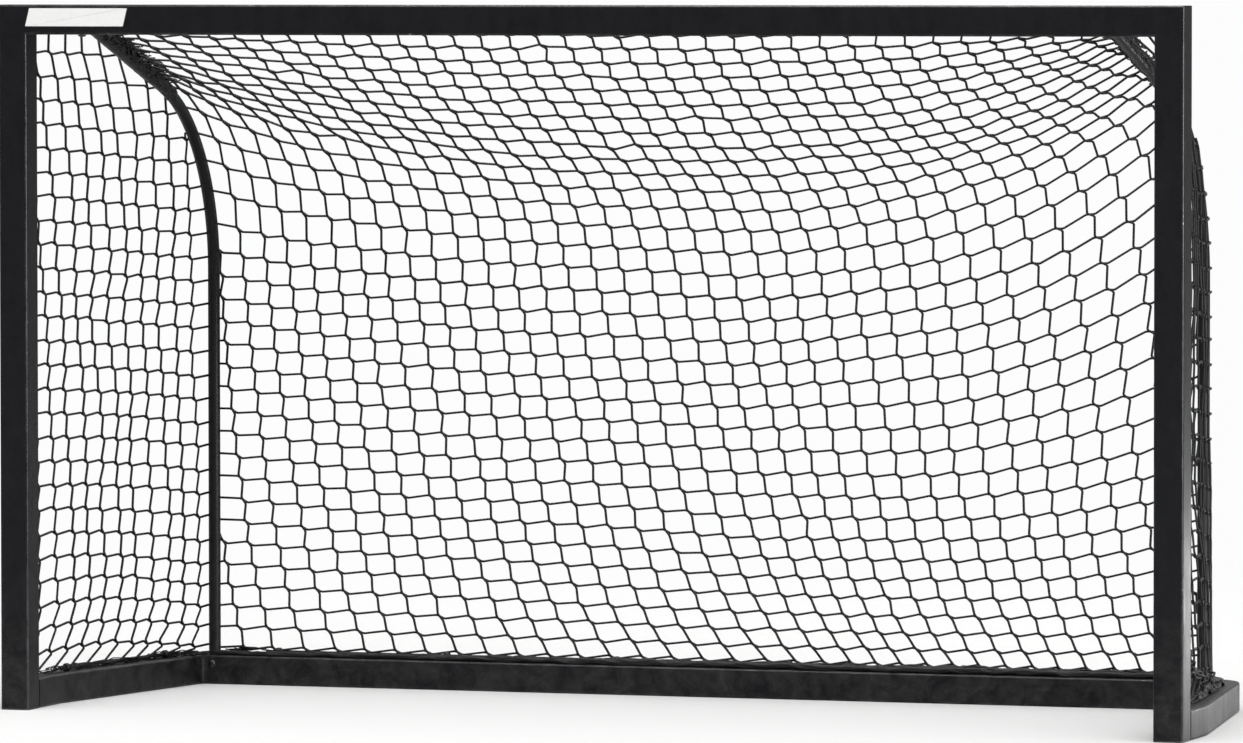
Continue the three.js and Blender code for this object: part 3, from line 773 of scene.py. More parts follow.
class FLOORBALL_OT_arches(Operator):
    """Build the two round-tube arches"""

    bl_idname = "floorball.arches"
    bl_label = "Arches"

    def execute(self, context):
        s = sizes()
        coat = powder_coat("arch powder coat", colours().arch_coat, 0.0003)
        for name, side in SIDES:
            corners = arch_corners(side)
            bm = bmesh.new()
            ring = round_ring(bm, s.arch / 2, facing(corners[0], Z_WAY, Y_WAY))
            draw_run(bm, ring, corners, [s.arch_bend], 36)
            make_hollow(bm, s.arch_wall)
            new_piece(name + "_bent_arch", bm, [coat], "arch_coat", name + "_arch")
        return {"FINISHED"}


class FLOORBALL_OT_rods(Operator):
    """Build the six net rods, each turned over at one end"""

    bl_idname = "floorball.rods"
    bl_label = "Net rods"

    def execute(self, context):
        s = sizes()
        coat = powder_coat("rod coat", colours().rod_coat, 0.0002)
        hooks = {
            "top": -Z_WAY, "rear": Y_WAY,
            "left_post": X_WAY, "left_rail": X_WAY, "right_post": -X_WAY, "right_rail": -X_WAY,
        }
        carriers = {"top": "crossbar", "rear": "rear_rail"}
        for name, (first, last) in rod_lines().items():
            along = (last - first).normalized()
            corners = [first - along * ROD_MARGIN, last + along * ROD_MARGIN]
            corners.append(corners[-1] + hooks[name] * ROD_HOOK)
            bm = bmesh.new()
            place = facing(corners[0], along, Z_WAY if abs(along.z) < 0.9 else Y_WAY)
            draw_run(bm, round_ring(bm, s.rod / 2, place, 14), corners, [s.rod], 6)
            close_ends(bm)
            node = carriers.get(name, name) + "_net_rod"
            new_piece(name + "_hooked_rod", bm, [coat], "rod_steel", node)
        return {"FINISHED"}


class FLOORBALL_OT_screws(Operator):
    """Build the eight button-head screws with their hex sockets"""

    bl_idname = "floorball.screws"
    bl_label = "Screws"

    head_height, head_rim = 0.0026, 0.0003
    # The domed head from its socket to its underside: shares of its radius and of its height
    dome = ((0.62, 0.10), (0.84, 0.34), (0.97, 0.66), (1.0, 0.78), (1.0, 1.0))
    mouth_share, shank_share = 0.36, 0.52
    thread_step, thread_swell, threads = 0.0006, 1.07, 7
    hex_half, socket_drop, socket_depth = 0.0013, 0.0001, 0.0013

    def execute(self, context):
        ways = {
            "front_sleeve": Z_WAY, "rear_sleeve": Y_WAY, "arch_foot": -Y_WAY, "arch_top": -Z_WAY,
        }
        for side, _ in SIDES:
            for joint, out in ways.items():
                node = "{}_{}_screw".format(side, joint)
                low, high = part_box(node)
                stops = (low, (low + high) / 2, high)
                crown = Vector([stops[round(way) + 1][axis] for axis, way in enumerate(out)])
                bm = self.screw(sizes().screw_head / 2)
                bmesh.ops.transform(bm, matrix=facing(crown, out, X_WAY), verts=bm.verts[:])
                name = "{}_{}_button_screw".format(side, joint)
                steel = finish("black screw finish", black_steel)
                new_piece(name, bm, [steel], "screw_steel", node)
        return {"FINISHED"}

    def widen(self, ring, factor):
        for vert in verts_of(ring):
            vert.co.x *= factor
            vert.co.y *= factor
        return ring

    def screw(self, radius):
        """A domed head with a hex socket on a short threaded shank; its crown is at the origin."""
        bm = bmesh.new()
        mouth = round_ring(bm, radius * self.mouth_share, Matrix(), 24)
        outer = mouth
        for share, drop in self.dome:
            verts = verts_of(outer)
            now, depth = max(v.co.xy.length for v in verts), min(v.co.z for v in verts)
            fall = -drop * (self.head_height - self.head_rim) - depth
            outer = self.widen(pull(bm, outer, Vector((0, 0, fall))), radius * share / now)
        outer = self.widen(pull(bm, outer, Vector()), self.shank_share)
        for k in range(self.threads):
            swell = self.thread_swell if k % 2 == 0 else 1 / self.thread_swell
            outer = self.widen(pull(bm, outer, Vector((0, 0, -self.thread_step))), swell)
        socket = pull(bm, mouth, Vector())
        for vert in verts_of(socket):
            angle = math.atan2(vert.co.y, vert.co.x)
            reach = self.hex_half / math.cos((angle % (math.pi / 3)) - math.pi / 6)
            vert.co = reach * math.cos(angle), reach * math.sin(angle), -self.socket_drop
        pull(bm, socket, Vector((0, 0, -self.socket_depth)))
        bmesh.ops.remove_doubles(bm, verts=bm.verts[:], dist=SAME_PLACE)
        close_ends(bm)
        return bm


class FLOORBALL_OT_fittings(Operator):
    """Finish the sleeves inside the joints and the plugs in the posts' lower ends"""

    bl_idname = "floorball.fittings"
    bl_label = "Sleeves and plugs"

    def execute(self, context):
        zinc = finish("zinc plate", zinc_plate)
        plastic = finish("moulded plug plastic", plug_plastic)
        finishes = {"front_sleeve": zinc, "rear_sleeve": zinc, "post_end_plug": plastic}
        for side, _ in SIDES:
            for fitting, material in finishes.items():
                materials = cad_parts["{}_{}".format(side, fitting)].data.materials
                materials.clear()
                materials.append(material)
        return {"FINISHED"}


class FLOORBALL_OT_label(Operator):
    """Build the bare leaning label on the crossbar, with its thin dark edge"""

    bl_idname = "floorball.label"
    bl_label = "Label"

    def execute(self, context):
        size, middle = LABEL_HIGH - LABEL_LOW, (LABEL_LOW + LABEL_HIGH) / 2
        thick, tall = size.y, size.z + LABEL_EXTRA
        bm = bmesh.new()
        grid = bmesh.ops.create_grid(bm, x_segments=1, y_segments=1, size=0.5)["verts"]
        bmesh.ops.scale(bm, vec=(size.x - LABEL_LEAN, tall, 1), verts=grid)
        for vert in grid:
            vert.co.x += LABEL_LEAN * vert.co.y / tall
        bevel(bm, grid, LABEL_CORNER, 4)
        face = max(bm.faces, key=lambda f: len(f.verts))
        upright = Matrix.Rotation(math.pi / 2, 4, "X")
        place = Matrix.Translation((middle.x, LABEL_HIGH.y, middle.z)) @ upright
        bmesh.ops.transform(bm, matrix=place, verts=bm.verts[:])
        made = bmesh.ops.extrude_face_region(bm, geom=[face])["geom"]
        bmesh.ops.translate(bm, verts=only(bmesh.types.BMVert, made), vec=(0, -thick, 0))
        front = only(bmesh.types.BMFace, made)[0]
        bmesh.ops.inset_region(bm, faces=[front], thickness=LABEL_RIM)
        bmesh.ops.recalc_face_normals(bm, faces=bm.faces[:])
        for face in bm.faces:
            face.material_index = 1
        front.material_index = 0
        c = colours()
        films = [
            label_film("label film", c.label, 0.95),
            label_film("label edge film", c.label_edge, 2.0),
        ]
        new_piece("bare_label", bm, films, "label_film", "label_plate")
        return {"FINISHED"}


# Netting


def smooth_wander(seed, u, v):
    """Slow random drift between about -1 and 1."""
    return 1.9 * noise.noise(Vector((u + 17.3 * seed, v - 5.1 * seed, 3.7 * seed)))


def middle_line():
    """The back net's fall at mid-span: steep off the crossbar, then nearly upright to the rail."""
    start = Vector((0, POST_ROD_HIGH.y, TOP_ROD_HIGH.z - 0.006))
    end = Vector((0, REAR_ROD_LOW.y + 0.002, net_foot_z()))
    roof_slope, wall_slope = math.radians(36), math.radians(77)
    bend_start, bend_share, steps = 0.27, 0.20, 140
    points = [Vector((0, 0, 0))]
    for k in range(steps):
        blend = clamp(((k + 0.5) / steps - bend_start) / bend_share)
        blend = blend * blend * (3 - 2 * blend)
        slope = roof_slope + (wall_slope - roof_slope) * blend
        points.append(points[-1] + Vector((0, math.cos(slope), -math.sin(slope))))
    run, total = end - start, points[-1]
    return [start + Vector((0, p.y * run.y / total.y, p.z * run.z / total.z)) for p in points]


def along_line(line, share):
    at = clamp(share) * (len(line) - 1)
    k = min(int(at), len(line) - 2)
    return line[k].lerp(line[k + 1], at - k)


def net_ways(right, down):
    """Unit ways to the right and down in a net, and its normal towards the inside."""
    right, down = right.normalized(), down.normalized()
    down = (down - right * down.dot(right)).normalized()
    return right, down, right.cross(down).normalized()


class RearNet:
    """The back and roof netting: hung on the arches at its sides and sagging between them."""

    # How far down the arches the rows have slid: shares of the rows, then of the arch's run
    left_stops = ((0.0, 0.0), (0.30, 0.24), (0.36, 0.345), (0.47, 0.50), (1.0, 1.0))
    right_stops = (
        (0.0, 0.0), (0.22, 0.10), (0.36, 0.22), (0.50, 0.41), (0.75, 0.72), (1.0, 1.0),
    )
    # Columns that a column drifts to the right in one row down, by row, at three places across
    drifts = (
        (0.0, (
            (0, 0.16), (2, 0.17), (5, 0.13), (7, 0.18), (9, 0.20), (12, 0.12), (16, 0.07),
            (22, 0.08), (30, 0.10), (35, 0.22),
        )),
        (0.55, (
            (0, -0.03), (1, 0.06), (4, 0.07), (6, 0.14), (8, 0.15), (10, 0.24), (12, 0.20),
            (14, 0.22), (17, 0.16), (24, 0.17), (28, 0.24), (32, 0.32), (35, 0.45),
        )),
        (1.0, (
            (0, -0.26), (1, -0.05), (3, 0.12), (5, 0.22), (8, 0.28), (11, 0.34), (13, 0.28),
            (15, 0.14), (19, 0.10), (25, 0.10), (30, 0.18), (35, 0.32),
        )),
    )
    bands = 200  # strips across the net in which the rows' heights are worked out
    first_column = 0.74  # where column 0 leaves the crossbar
    lean_each = 1.2  # how far a mesh leans for each column of drift
    low_row = 24  # below this row the meshes hang closer together
    full_left, full_right = 2.6, 3.4  # how flat the sag is across, and so how steep at the arches
    waves = 0.007, 0.004  # slow waves in the loose middle, backwards and upwards

    def __init__(self):
        n = net_sizes()
        self.columns, self.rows = n.rear_columns, n.rear_rows
        self.middle = middle_line()
        self.run = arch_run()
        self.seat = sizes().arch / 2 + n.cord / 2 + 0.0004
        self.sums = []
        for band in range(self.bands + 1):
            sums = [0.0]
            for row in range(self.rows):
                lean = self.lean_each * self.drift(band / self.bands, row + 0.5)
                low = max(0.0, (row - self.low_row) / (self.rows - self.low_row))
                weight = 1 - (0.05 + 0.30 * band / self.bands) * low
                sums.append(sums[-1] + weight * math.sqrt(max(0.2, 1 - lean * lean)))
            self.sums.append(sums)

    def drift(self, across, row):
        """Columns that a column drifts to the right in one row down."""
        return between([(at, between(steps, row)) for at, steps in self.drifts], clamp(across))

    def column(self, number):
        """A column's places across the net, from the crossbar down."""
        at = number + self.first_column
        places = []
        for row in range(self.rows + 1):
            places.append(at / self.columns)
            at += self.drift(at / self.columns, row + 0.5)
        return places

    def row_share(self, across, row):
        """How far down the net's run a row lies: leaning meshes stand less high."""
        sums = self.sums[clamp(round(across * self.bands), 0, self.bands)]
        k = clamp(int(row), 0, self.rows - 1)
        return (sums[k] + (sums[k + 1] - sums[k]) * (row - k)) / sums[-1]

    def at(self, across, row):
        """Point of the net `across` from left 0 to right 1, at a row counted from the crossbar."""
        share = self.row_share(across, row)
        side, stops, fullness = (
            (-1, self.left_stops, self.full_left) if across < 0.5
            else (1, self.right_stops, self.full_right)
        )
        edge, out = arch_line(side, self.run * (1 - between(stops, share)))
        edge += out * self.seat
        reach = abs(edge.x)
        middle = along_line(self.middle, share)
        point = edge.lerp(middle, 1 - abs(2 * across - 1) ** fullness)
        point.x = -reach + 2 * reach * across
        loose = math.sin(math.pi * across) * math.sin(math.pi * share)
        point.y += self.waves[0] * loose * smooth_wander(1, across * 5, share * 5)
        point.z += self.waves[1] * loose * smooth_wander(2, across * 6, share * 6)
        return point

    def ways(self, across, row):
        right = self.at(min(1, across + 0.01), row) - self.at(max(0, across - 0.01), row)
        down = self.at(across, min(self.rows, row + 0.3)) - self.at(across, max(0, row - 0.3))
        return net_ways(right, down)


class SideNet:
    """One side's netting, between its post, its rail and its arch."""

    turn_in = 2.93  # how much more reach the net gains inwards than backwards

    def __init__(self, side):
        s = sizes()
        self.side = side
        self.post_x = -POST_HIGH.x + s.tube / 2
        self.arch_x = -ARCH_LOW.x + 0.0016
        self.front = POST_ROD_HIGH.y + 0.003
        self.low, self.high = net_foot_z(), s.height - s.tube + 0.004
        run = arch_run()
        self.arch = [arch_line(side, run * k / 240) for k in range(241)]
        self.backs = [(point.z, point.y) for point, _ in self.arch]

    def depth(self, z):
        """How far behind the post's rod the arch stands at a height."""
        return between(self.backs, z) - self.front

    def bow(self, share, z):
        """How far the net stands outwards of the straight line from post to arch."""
        inside = clamp(share)
        low = max(0.0, 1 - (z - self.low) / (self.high - self.low))
        return 4 * inside * (1 - inside) * (0.017 * low ** 4 - 0.004)

    def at(self, share, z):
        """Point of the net `share` of the way from the post's rod to the arch, at a height."""
        share = clamp(share)
        y = self.front + share * self.depth(z)
        wave = 0.004 * math.sin(math.pi * share) * smooth_wander(4 + self.side, y * 14, z * 11)
        inward = (self.post_x - self.arch_x) * share
        return Vector((self.side * (self.post_x - inward + self.bow(share, z) + wave), y, z))

    def share_at(self, reach, z):
        """Where the net has that reach, counted along its run backwards and inwards."""
        near, far = -0.2, 1.4
        for _ in range(16):
            share = (near + far) / 2
            inward = (self.post_x - self.arch_x) * share - self.bow(share, z)
            if share * self.depth(z) + self.turn_in * inward < reach:
                near = share
            else:
                far = share
        return (near + far) / 2

    def upper_edge(self, reach, z):
        """Where a cord that rises from a joint meets the arch, or the crossbar's underside."""
        share = self.share_at(reach, z)
        while share < 1 and z < self.high + 0.002:
            z += 0.002
            share = self.share_at(reach, z)
        return self.at(share, z)

    def lower_edge(self, reach):
        """Where a cord with that reach meets the rail's rod, a little ahead of its last joint."""
        share = self.share_at(reach - 0.75 * net_sizes().side_reach, self.low)
        return self.at(share, self.low) - Z_WAY * 0.003

    def hitch(self, z):
        """A cord's end, bent round the back of the arch."""
        out = min(self.arch, key=lambda entry: abs(entry[0].z - z))[1]
        middle = Vector((self.side * arch_x(), self.front + self.depth(z), z))
        reach = sizes().arch / 2 + net_sizes().cord / 2
        bends = [math.radians(angle) for angle in (0, 35, 70, 95)]
        return [
            middle + (X_WAY * self.side * math.cos(a) + out * math.sin(a)) * reach for a in bends
        ]

    def ways(self, share, z):
        right = self.at(share + 0.01, z) - self.at(share - 0.01, z)
        return net_ways(right, self.at(share, z - 0.004) - self.at(share, z + 0.004))

    def joints(self, rng):
        """Joints of the netting by column and row, and each one's reach.

        Each row's shift, pitch, level and slope follow the netting in the photo.
        """
        n = net_sizes()
        rows = round((self.high - self.low) / n.side_mesh_height)
        columns = round((ARCH_HIGH.y - self.front + 0.2) / n.side_reach) + 4
        places, reaches = {}, {}
        shift = -0.30
        for j in range(-1, rows + 3):
            fall = clamp(j / rows)
            shift += 0.19 - 0.20 * fall - 0.36 * max(0.0, fall - 0.88) / 0.12
            if j == 2:
                shift += 0.22
            pitch = n.side_reach * (1.15 - 0.12 * min(1.0, fall * 2.2) - 0.03 * fall)
            level = self.high + 0.005 - j * n.side_mesh_height - 0.0000165 * max(0, j) ** 2
            slope = 0.079 - 0.045 * max(0.0, (fall - 0.80) / 0.17) ** 1.3
            for i in range(-3, columns + 4):
                reach, z = (i + shift) * pitch, level
                for _ in range(3):
                    share = self.share_at(reach, z)
                    part = clamp(share)
                    lift = 0.011 * min(1.0, fall / 0.9) ** 3 * 4 * part * (1 - part)
                    z = level - slope * part * self.depth(z) + lift
                share += rng.gauss(0, SIDE_STRAY[0])
                z += rng.gauss(0, SIDE_STRAY[1])
                inside = SIDE_MARGIN < share < 1 - SIDE_MARGIN
                if inside and self.low - 0.0005 < z < self.high:
                    places[i, j] = self.at(share, z), *self.ways(share, z)
                    reaches[i, j] = reach
        return places, reaches


def crossing_points(middle, right, down, out, kind):
    """Where one cord of a knotless joint enters and leaves it."""
    n = net_sizes()
    lift = out * (n.cord * 0.30)
    off = (right - down).normalized() * n.cord * 0.34
    along = (right + down * 0.74) * (n.joint / 2)
    if kind == "row":
        return [middle - along - off + lift, middle + along + off + lift]
    return [middle - along + off - lift, middle + along - off - lift]


def cut_corners(points, cut):
    """Round a cord's corners by cutting each one short."""
    result = [points[0]]
    for before, here, after in zip(points, points[1:], points[2:]):
        for way in (before - here, after - here):
            result.append(here + way * min(0.42, cut / max(way.length, 1e-9)))
    return result + [points[-1]]


class CordBundle:
    """Cords gathered as splines of one curve, which becomes one mesh."""

    def __init__(self, name, rng):
        self.name, self.rng = name, rng
        self.curve = bpy.data.curves.new(name, "CURVE")
        self.curve.dimensions = "3D"
        self.curve.bevel_depth = net_sizes().cord / 2
        self.curve.bevel_resolution = 1
        self.curve.use_fill_caps = True
        # Two slots keep the splines' material numbers until the mesh has its finishes
        for material in net_finishes():
            self.curve.materials.append(material)

    def add(self, points, thickness=1.0, material=0):
        if len(points) < 2:
            return
        spline = self.curve.splines.new("POLY")
        spline.material_index = material
        spline.points.add(len(points) - 1)
        spline.points.foreach_set("co", [v for p in points for v in (p.x, p.y, p.z, 1.0)])
        spline.points.foreach_set("radius", [thickness] * len(points))

    def weave(self, places, row_ends, column_ends):
        """Lay a cord along each row and column of joints.

        `row_ends` and `column_ends` give the points before a cord's first joint and after its last.
        """
        for kind, axis, ends in (("row", 1, row_ends), ("column", 0, column_ends)):
            for number in sorted({key[axis] for key in places}):
                line = sorted(key for key in places if key[axis] == number)
                points, last = ends(line[0], line[-1])
                for key in line:
                    points += crossing_points(*places[key], kind)
                self.add(cut_corners(points + last, JOINT_CUT))

    def add_strands(self, path, number, spread, wobble=0.004, step=0.008, thickness=1.0,
                    material=0, inner=0.0, lean=None):
        """Strands of bunched netting that wander along a path and cross each other.

        `spread` is how far they stand off at the start, and what it gains to the end. With `lean`
        they keep close to the path on the side away from that direction.
        """
        rng = self.rng
        lengths = [0.0]
        for a, b in zip(path, path[1:]):
            lengths.append(lengths[-1] + (b - a).length)
        total = lengths[-1]

        def at(distance):
            distance = clamp(distance, 0.0, total)
            k = 0
            while k < len(path) - 2 and lengths[k + 1] < distance:
                k += 1
            span = max(lengths[k + 1] - lengths[k], 1e-9)
            way = (path[k + 1] - path[k]).normalized()
            return path[k].lerp(path[k + 1], (distance - lengths[k]) / span), way

        for _ in range(number):
            start = total * max(0.0, rng.uniform(-0.25, 0.5))
            end = total * min(1.0, rng.uniform(0.5, 1.25))
            seed = rng.uniform(0, 90)
            turn_start, turn_rate = rng.uniform(0, math.tau), rng.uniform(-26, 26)
            far = rng.uniform(0.25, 1.0)
            points = []
            for k in range(int((end - start) / step) + 1):
                distance = start + k * step
                centre, way = at(distance)
                side = way.cross(Vector((0.17, 0.21, 0.96))).normalized()
                lift = way.cross(side)
                angle = turn_start + turn_rate * distance
                angle += 1.6 * smooth_wander(seed, distance * 30, 0.5)
                ripple = 0.72 + 0.4 * smooth_wander(seed + 3, distance * 42, 1.5)
                out = side * math.cos(angle) + lift * math.sin(angle)
                loose = (spread[0] + spread[1] * (distance / total) - inner) * far * ripple
                if lean:
                    loose *= 0.08 + 1.15 * max(0.0, 0.3 + 0.7 * out.dot(lean))
                drift = way * wobble * smooth_wander(seed + 7, distance * 55, 2.5)
                points.append(centre + out * (inner + loose) + drift)
            self.add(points, thickness, material)

    def add_ragged_ends(self, place_at, number, longest, poke):
        """Short loose ends; `place_at` gives a point, the way outwards and the way along."""
        rng = self.rng
        for _ in range(number):
            point, out, along = place_at(rng.random())
            size = longest * rng.uniform(0.35, 1.0)
            way = along * rng.uniform(-0.7, 0.7) + X_WAY * rng.choice((-1, 1))
            way += out * rng.uniform(-0.15, 0.3)
            way.normalize()
            start = point + out * rng.uniform(-0.2, 1.0) * poke
            seed = rng.uniform(0, 90)
            points = []
            for share in (k / 5 for k in range(6)):
                wander = [smooth_wander(seed + 5 * axis, share * 1.6, 0.5) for axis in range(3)]
                bend = Vector([0.16 * size * w for w in wander])
                points.append(start + way * (size * (share - 0.5)) + bend * share)
            self.add(points, 0.62)

    def to_mesh(self):
        holder = in_scene(self.name, self.curve)
        graph = bpy.context.evaluated_depsgraph_get()
        mesh = bpy.data.meshes.new_from_object(holder.evaluated_get(graph))
        mesh.name = self.name
        bpy.data.objects.remove(holder)
        bpy.data.curves.remove(self.curve)
        mesh.materials.clear()
        return mesh


class FLOORBALL_OT_rear_net(Operator):
    """Knit the back and roof net over the arches, from the crossbar to the rear rail"""

    bl_idname = "floorball.rear_net"
    bl_label = "Back and roof net"

    def execute(self, context):
        net, rng = RearNet(), random.Random(REAR_SEED)
        bundle = CordBundle("rear_netting", rng)
        numbers = range(-math.ceil(net.rows * 0.45), net.columns + 1)
        columns = {i: net.column(i) for i in numbers}
        places = {}
        for j in range(net.rows + 1):
            for i in numbers:
                sideways, downwards, lift = (rng.gauss(0, stray) for stray in KNOT_STRAY)
                across = columns[i][j] + sideways / net.columns
                row = j + (downwards if 0 < j < net.rows else 0)
                if REAR_MARGIN < across < 1 - REAR_MARGIN:
                    right, down, out = net.ways(across, row)
                    places[i, j] = net.at(across, row) + out * lift, right, down, out

        def row_ends(first, last):
            return [net.at(0.0, first[1])], [net.at(1.0, last[1])]

        def column_ends(first, last):
            above = [net.at(0.0, first[1] - 0.6)] if first[1] > 0 else []
            return above, [net.at(1.0, last[1] + 0.6)] if last[1] < net.rows else []

        bundle.weave(places, row_ends, column_ends)
        self.add_edges(bundle, net)
        piece = new_piece(
            "rear_netting", bundle.to_mesh(), net_finishes(), "net_cord",
            "rear_net", "shoulder_net", "crown_net", "roof_net",
        )
        return {"FINISHED"}

    def add_edges(self, bundle, net):
        """Bunched netting along the rear rail, the crossbar's rod and the arches; along the rear
        rail it is packed into a dense black band, partly real bunched net and partly painted shade.
        """
        rear, top = rod_lines()["rear"][0], rod_lines()["top"][0]
        reach = net.at(1.0, net.rows).x
        steps = [(k, -reach + 2 * reach * k / 60) for k in range(61)]

        def beside(ahead, below, gain):
            return [
                Vector((x, rear.y, rear.z)) + Vector((0, -ahead, gain * k / 60 - below))
                for k, x in steps
            ]

        lowered, fore = beside(0.007, 0.0030, 0.0025), beside(0.0165, 0.0012, 0.0012)
        # Thick strands packed close: real bunched net, thickened into a solid black band that also
        # stands in for the shadow the band lies in (painted shade)
        bundle.add_strands(lowered, 18, (0.0026, 0.0030), wobble=0.002, thickness=1.7)
        bundle.add_strands(lowered, 16, (0.0040, 0.0032), thickness=0.8)
        bundle.add_strands(fore, 14, (0.0022, 0.0012), wobble=0.002, thickness=1.5)
        bundle.add_strands([Vector((x, top.y, top.z)) for _, x in steps], 6, (0.0046, 0))
        for side in (-1, 1):
            centres = []
            for share in (k / 59 for k in range(60)):
                point, out = arch_line(side, net.run * (0.73 + 0.27 * share))
                centres.append(point + out * (0.0005 + 0.0015 * share))
            lean = (arch_line(side, net.run * 0.9)[1] - X_WAY * side).normalized()
            bundle.add_strands(centres, 16, (0.0074, 0.0040), wobble=0.006, thickness=1.5,
                               inner=0.0062, lean=lean)
            bundle.add_strands(centres, 22, (0.0084, 0.0080), wobble=0.008, thickness=0.8,
                               inner=0.0068, lean=lean)

            def gathered(share):
                distance = net.run * (0.75 + 0.25 * share)
                point, out = arch_line(side, distance)
                ahead = arch_line(side, distance + 0.01)[0]
                inward = -side * bundle.rng.uniform(-0.004, 0.014)
                return point + out * 0.007 + X_WAY * inward, out, (ahead - point).normalized()

            bundle.add_ragged_ends(gathered, 150, 0.021, 0.006)
        foot = Vector((-reach, rear.y - 0.004, rear.z + 0.002))
        path = [foot + X_WAY * (0.062 * k / 20) for k in range(21)]
        bundle.add_strands(path, 6, (0.0075, 0), wobble=0.006, thickness=0.6)
        bundle.add_strands(path, 4, (0.0080, 0), wobble=0.006, thickness=0.4, material=1)


class FLOORBALL_OT_side_nets(Operator):
    """Knit the two side nets between the posts, rails and arches"""

    bl_idname = "floorball.side_nets"
    bl_label = "Side nets"

    def execute(self, context):
        for name, side in SIDES:
            self.knit(name, side)
        return {"FINISHED"}

    def knit(self, name, side):
        net = SideNet(side)
        bundle = CordBundle(name + "_side_netting", random.Random(SIDE_SEED + side))
        places, reaches = net.joints(bundle.rng)

        def row_ends(first, last):
            return [net.at(0.0, places[first][0].z)], net.hitch(places[last][0].z)

        def column_ends(first, last):
            above = net.upper_edge(reaches[first], places[first][0].z)
            return [above], [net.lower_edge(reaches[last])]

        bundle.weave(places, row_ends, column_ends)
        self.add_edges(bundle, name, side)
        piece = new_piece(
            name + "_side_netting", bundle.to_mesh(), net_finishes(), "net_cord",
            name + "_side_net",
        )

    def add_edges(self, bundle, name, side):
        """Bunched netting along the post's rod and the side rail."""
        post, rail = rod_lines()[name + "_post"], rod_lines()[name + "_rail"]
        path = [post[0].lerp(post[1], -0.03 + 1.06 * k / 50) for k in range(51)]
        bundle.add_strands(path, 5, (0.0034, 0), wobble=0.002, thickness=0.8)
        front = Vector((side * -POST_LOW.x - side * 0.017, FRONT + 0.045, rail[0].z))
        back = Vector((side * (-ARCH_LOW.x - 0.007), ARCH_HIGH.y - 0.012, rail[0].z))
        corners = [front, *rail, back]
        path = [a.lerp(b, k / 20) for a, b in zip(corners, corners[1:]) for k in range(20)]
        path.append(back)
        if side < 0:
            bundle.add_strands(path, 12, (0.0050, 0), wobble=0.006, thickness=0.5)
            bundle.add_strands(path, 7, (0.0052, 0), wobble=0.006, thickness=0.42, material=1)
            return
        bundle.add_strands(path, 18, (0.0078, 0), wobble=0.006)
        high = Vector((-POST_LOW.x - 0.017, POST_ROD_HIGH.y, 0.082))
        low = rail[0] + Z_WAY * 0.024
        slack = [high.lerp(low, k / 12) for k in range(12)]
        slack += [low.lerp(rail[1], k / 20) for k in range(21)]
        bundle.add_strands(slack, 14, (0.0150, -0.0085), wobble=0.007, step=0.012)


# Stage, light and camera


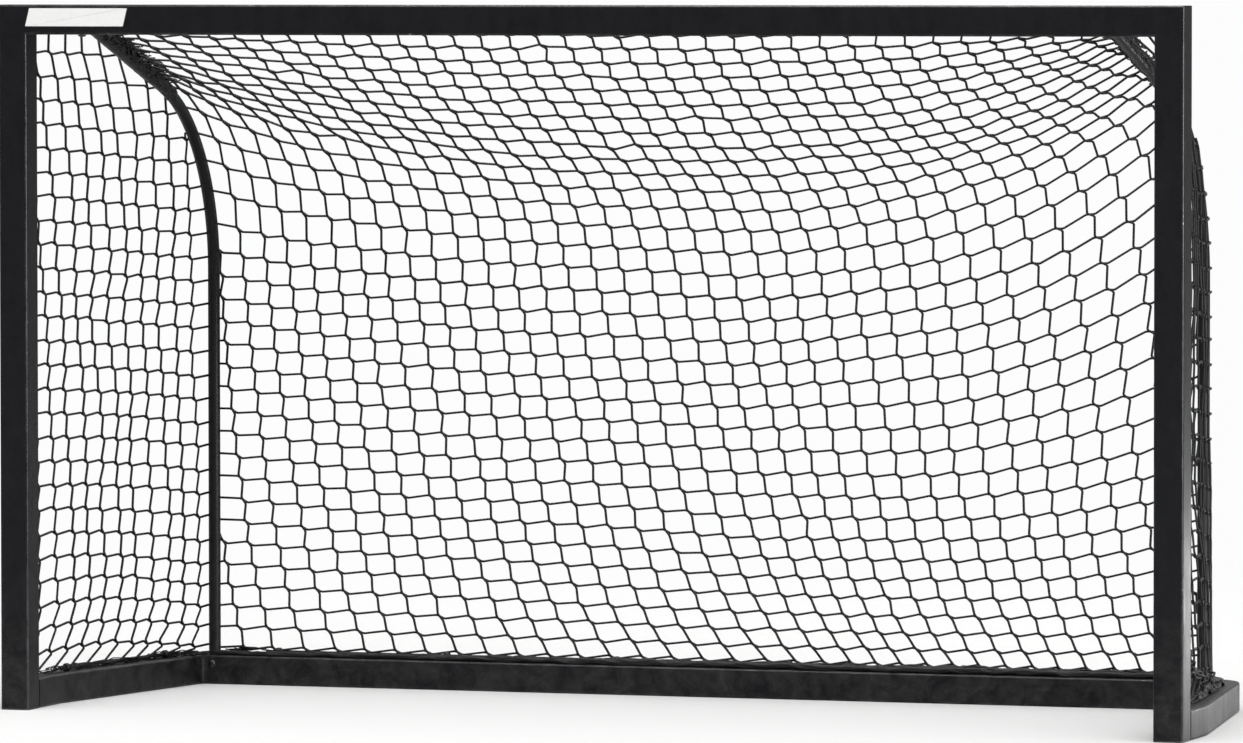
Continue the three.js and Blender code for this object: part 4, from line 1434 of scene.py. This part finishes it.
class FLOORBALL_OT_stage(Operator):
    """Set the pale floor, the soft light and the camera"""

    bl_idname = "floorball.stage"
    bl_label = "Stage"

    floor_radius, fade_ends = 6.5, (1.1, 2.6)
    sun_way, sun_power, sun_width = (-0.22, 0.46, -0.87), 3.02, math.radians(85)
    # Each card's place, what it faces, its size and its power
    cards = {
        "right_strip": ((3.6, -0.9, 0.6), (0.0, 0.0, 0.4), (0.5, 2.4), 330),
        "top_strip": ((-0.4, 0.2, 3.4), (0.0, 0.0, 0.8), (4.4, 0.8), 330),
        "back_card": ((0.6, 4.2, 2.6), (0.0, 0.0, 0.8), (6.0, 1.6), 45),
        "low_right_card": ((1.15, 0.95, 0.05), (0.7, 0.0, 0.05), (0.5, 0.12), 3.3),
    }
    # The camera fitted to the photo: its place and turns, its length in picture widths, and the
    # width of its film in millimetres
    camera_at = 3.29537, -9.63072, 0.84676
    yaw, pitch, roll = 0.33216, -0.04539, -0.00075
    widths, film = 9000.0 / 1243.0, 36.0

    def execute(self, context):
        self.add_floor()
        self.add_world(context.scene)
        self.add_lamps()
        self.add_camera(context.scene)
        return {"FINISHED"}

    def add_floor(self):
        bm = bmesh.new()
        bmesh.ops.create_circle(bm, cap_ends=True, segments=96, radius=self.floor_radius)
        floor = in_scene("studio_floor", mesh_from(bm, "studio_floor"))
        material = finish("pale floor", pale_floor)
        nodes = material.node_tree.nodes
        n = Nodes(material.node_tree)
        distance = n.add("VectorMath", {0: n.place()}, operation="LENGTH")["Value"]
        fade = n.times(n.spread(distance, *self.fade_ends), n.add("LightPath")["Is Camera Ray"])
        lit, clear = nodes["Principled BSDF"].outputs[0], n.add("BsdfTransparent")[0]
        n.feed(nodes["Material Output"].inputs["Surface"], n.mix_shaders(fade, lit, clear))
        floor.data.materials.append(material)

    def add_world(self, scene):
        world = bpy.data.worlds.new("soft white studio")
        scene.world = world
        world.use_nodes = True
        world.node_tree.nodes.clear()
        n = Nodes(world.node_tree)
        path = n.add("LightPath")
        seen = n.math("MAXIMUM", path["Is Camera Ray"], path["Is Transmission Ray"])
        around = n.add("Background", {"Color": (1, 1, 1), "Strength": 0.25})[0]
        shown = n.add("Background", {"Color": (0.98, 0.98, 0.985), "Strength": 1.0})[0]
        n.add("OutputWorld", {"Surface": n.mix_shaders(seen, around, shown)})

    def add_lamp(self, name, kind, power, way):
        light = bpy.data.lights.new(name, kind)
        light.energy = power
        lamp = in_scene(name, light)
        lamp.rotation_euler = way.to_track_quat("-Z", "Y").to_euler()
        lamp.visible_camera = False
        return lamp

    def add_lamps(self):
        key = self.add_lamp("high_front_key", "SUN", self.sun_power, Vector(self.sun_way))
        key.data.angle = self.sun_width
        for name, (at, aim, size, power) in self.cards.items():
            card = self.add_lamp(name, "AREA", power, Vector(aim) - Vector(at))
            card.data.shape = "RECTANGLE"
            card.data.size, card.data.size_y = size
            card.location = at
            card.visible_diffuse = False

    def add_camera(self, scene):
        lens = bpy.data.cameras.new("camera")
        lens.sensor_fit = "HORIZONTAL"
        lens.sensor_width = self.film
        lens.lens = self.widths * self.film
        lens.clip_end = 100.0
        camera = in_scene("camera", lens)
        aside, onward, flat = math.sin(self.yaw), math.cos(self.yaw), math.cos(self.pitch)
        level = Vector((onward, aside, 0))
        ahead = Vector((-aside * flat, onward * flat, math.sin(self.pitch)))
        above = level.cross(ahead)
        right = level * math.cos(self.roll) + above * math.sin(self.roll)
        up = above * math.cos(self.roll) - level * math.sin(self.roll)
        turned = Matrix((right, up, -ahead)).transposed().to_4x4()
        camera.matrix_world = Matrix.Translation(self.camera_at) @ turned
        scene.camera = camera
        scene.view_settings.view_transform = "Standard"


class FLOORBALL_PT_goal(Panel):
    """Buttons that build the goal, piece by piece"""

    bl_label = "Floorball goal"
    bl_idname = "FLOORBALL_PT_goal"
    bl_space_type = "VIEW_3D"
    bl_region_type = "UI"
    bl_category = "Goal"

    def draw(self, context):
        for step in STEPS:
            self.layout.operator(step.bl_idname)


STEPS = (
    FLOORBALL_OT_mouth,
    FLOORBALL_OT_base,
    FLOORBALL_OT_arches,
    FLOORBALL_OT_rods,
    FLOORBALL_OT_screws,
    FLOORBALL_OT_fittings,
    FLOORBALL_OT_label,
    FLOORBALL_OT_rear_net,
    FLOORBALL_OT_side_nets,
    FLOORBALL_OT_stage,
)
GROUPS = {
    "floorball_frame": FLOORBALL_PG_frame,
    "floorball_net": FLOORBALL_PG_net,
    "floorball_colours": FLOORBALL_PG_colours,
}


def register():
    for cls in (*GROUPS.values(), *STEPS, FLOORBALL_PT_goal):
        bpy.utils.register_class(cls)
    for name, group in GROUPS.items():
        setattr(bpy.types.Scene, name, PointerProperty(type=group))


def unregister():
    for name in GROUPS:
        delattr(bpy.types.Scene, name)
    for cls in reversed((*GROUPS.values(), *STEPS, FLOORBALL_PT_goal)):
        bpy.utils.unregister_class(cls)


def main():
    register()
    for step in STEPS:
        family, name = step.bl_idname.split(".")
        result = getattr(getattr(bpy.ops, family), name)()
        if result != {"FINISHED"}:
            raise RuntimeError(step.bl_label + " was not built")


if __name__ == "__main__":
    main()
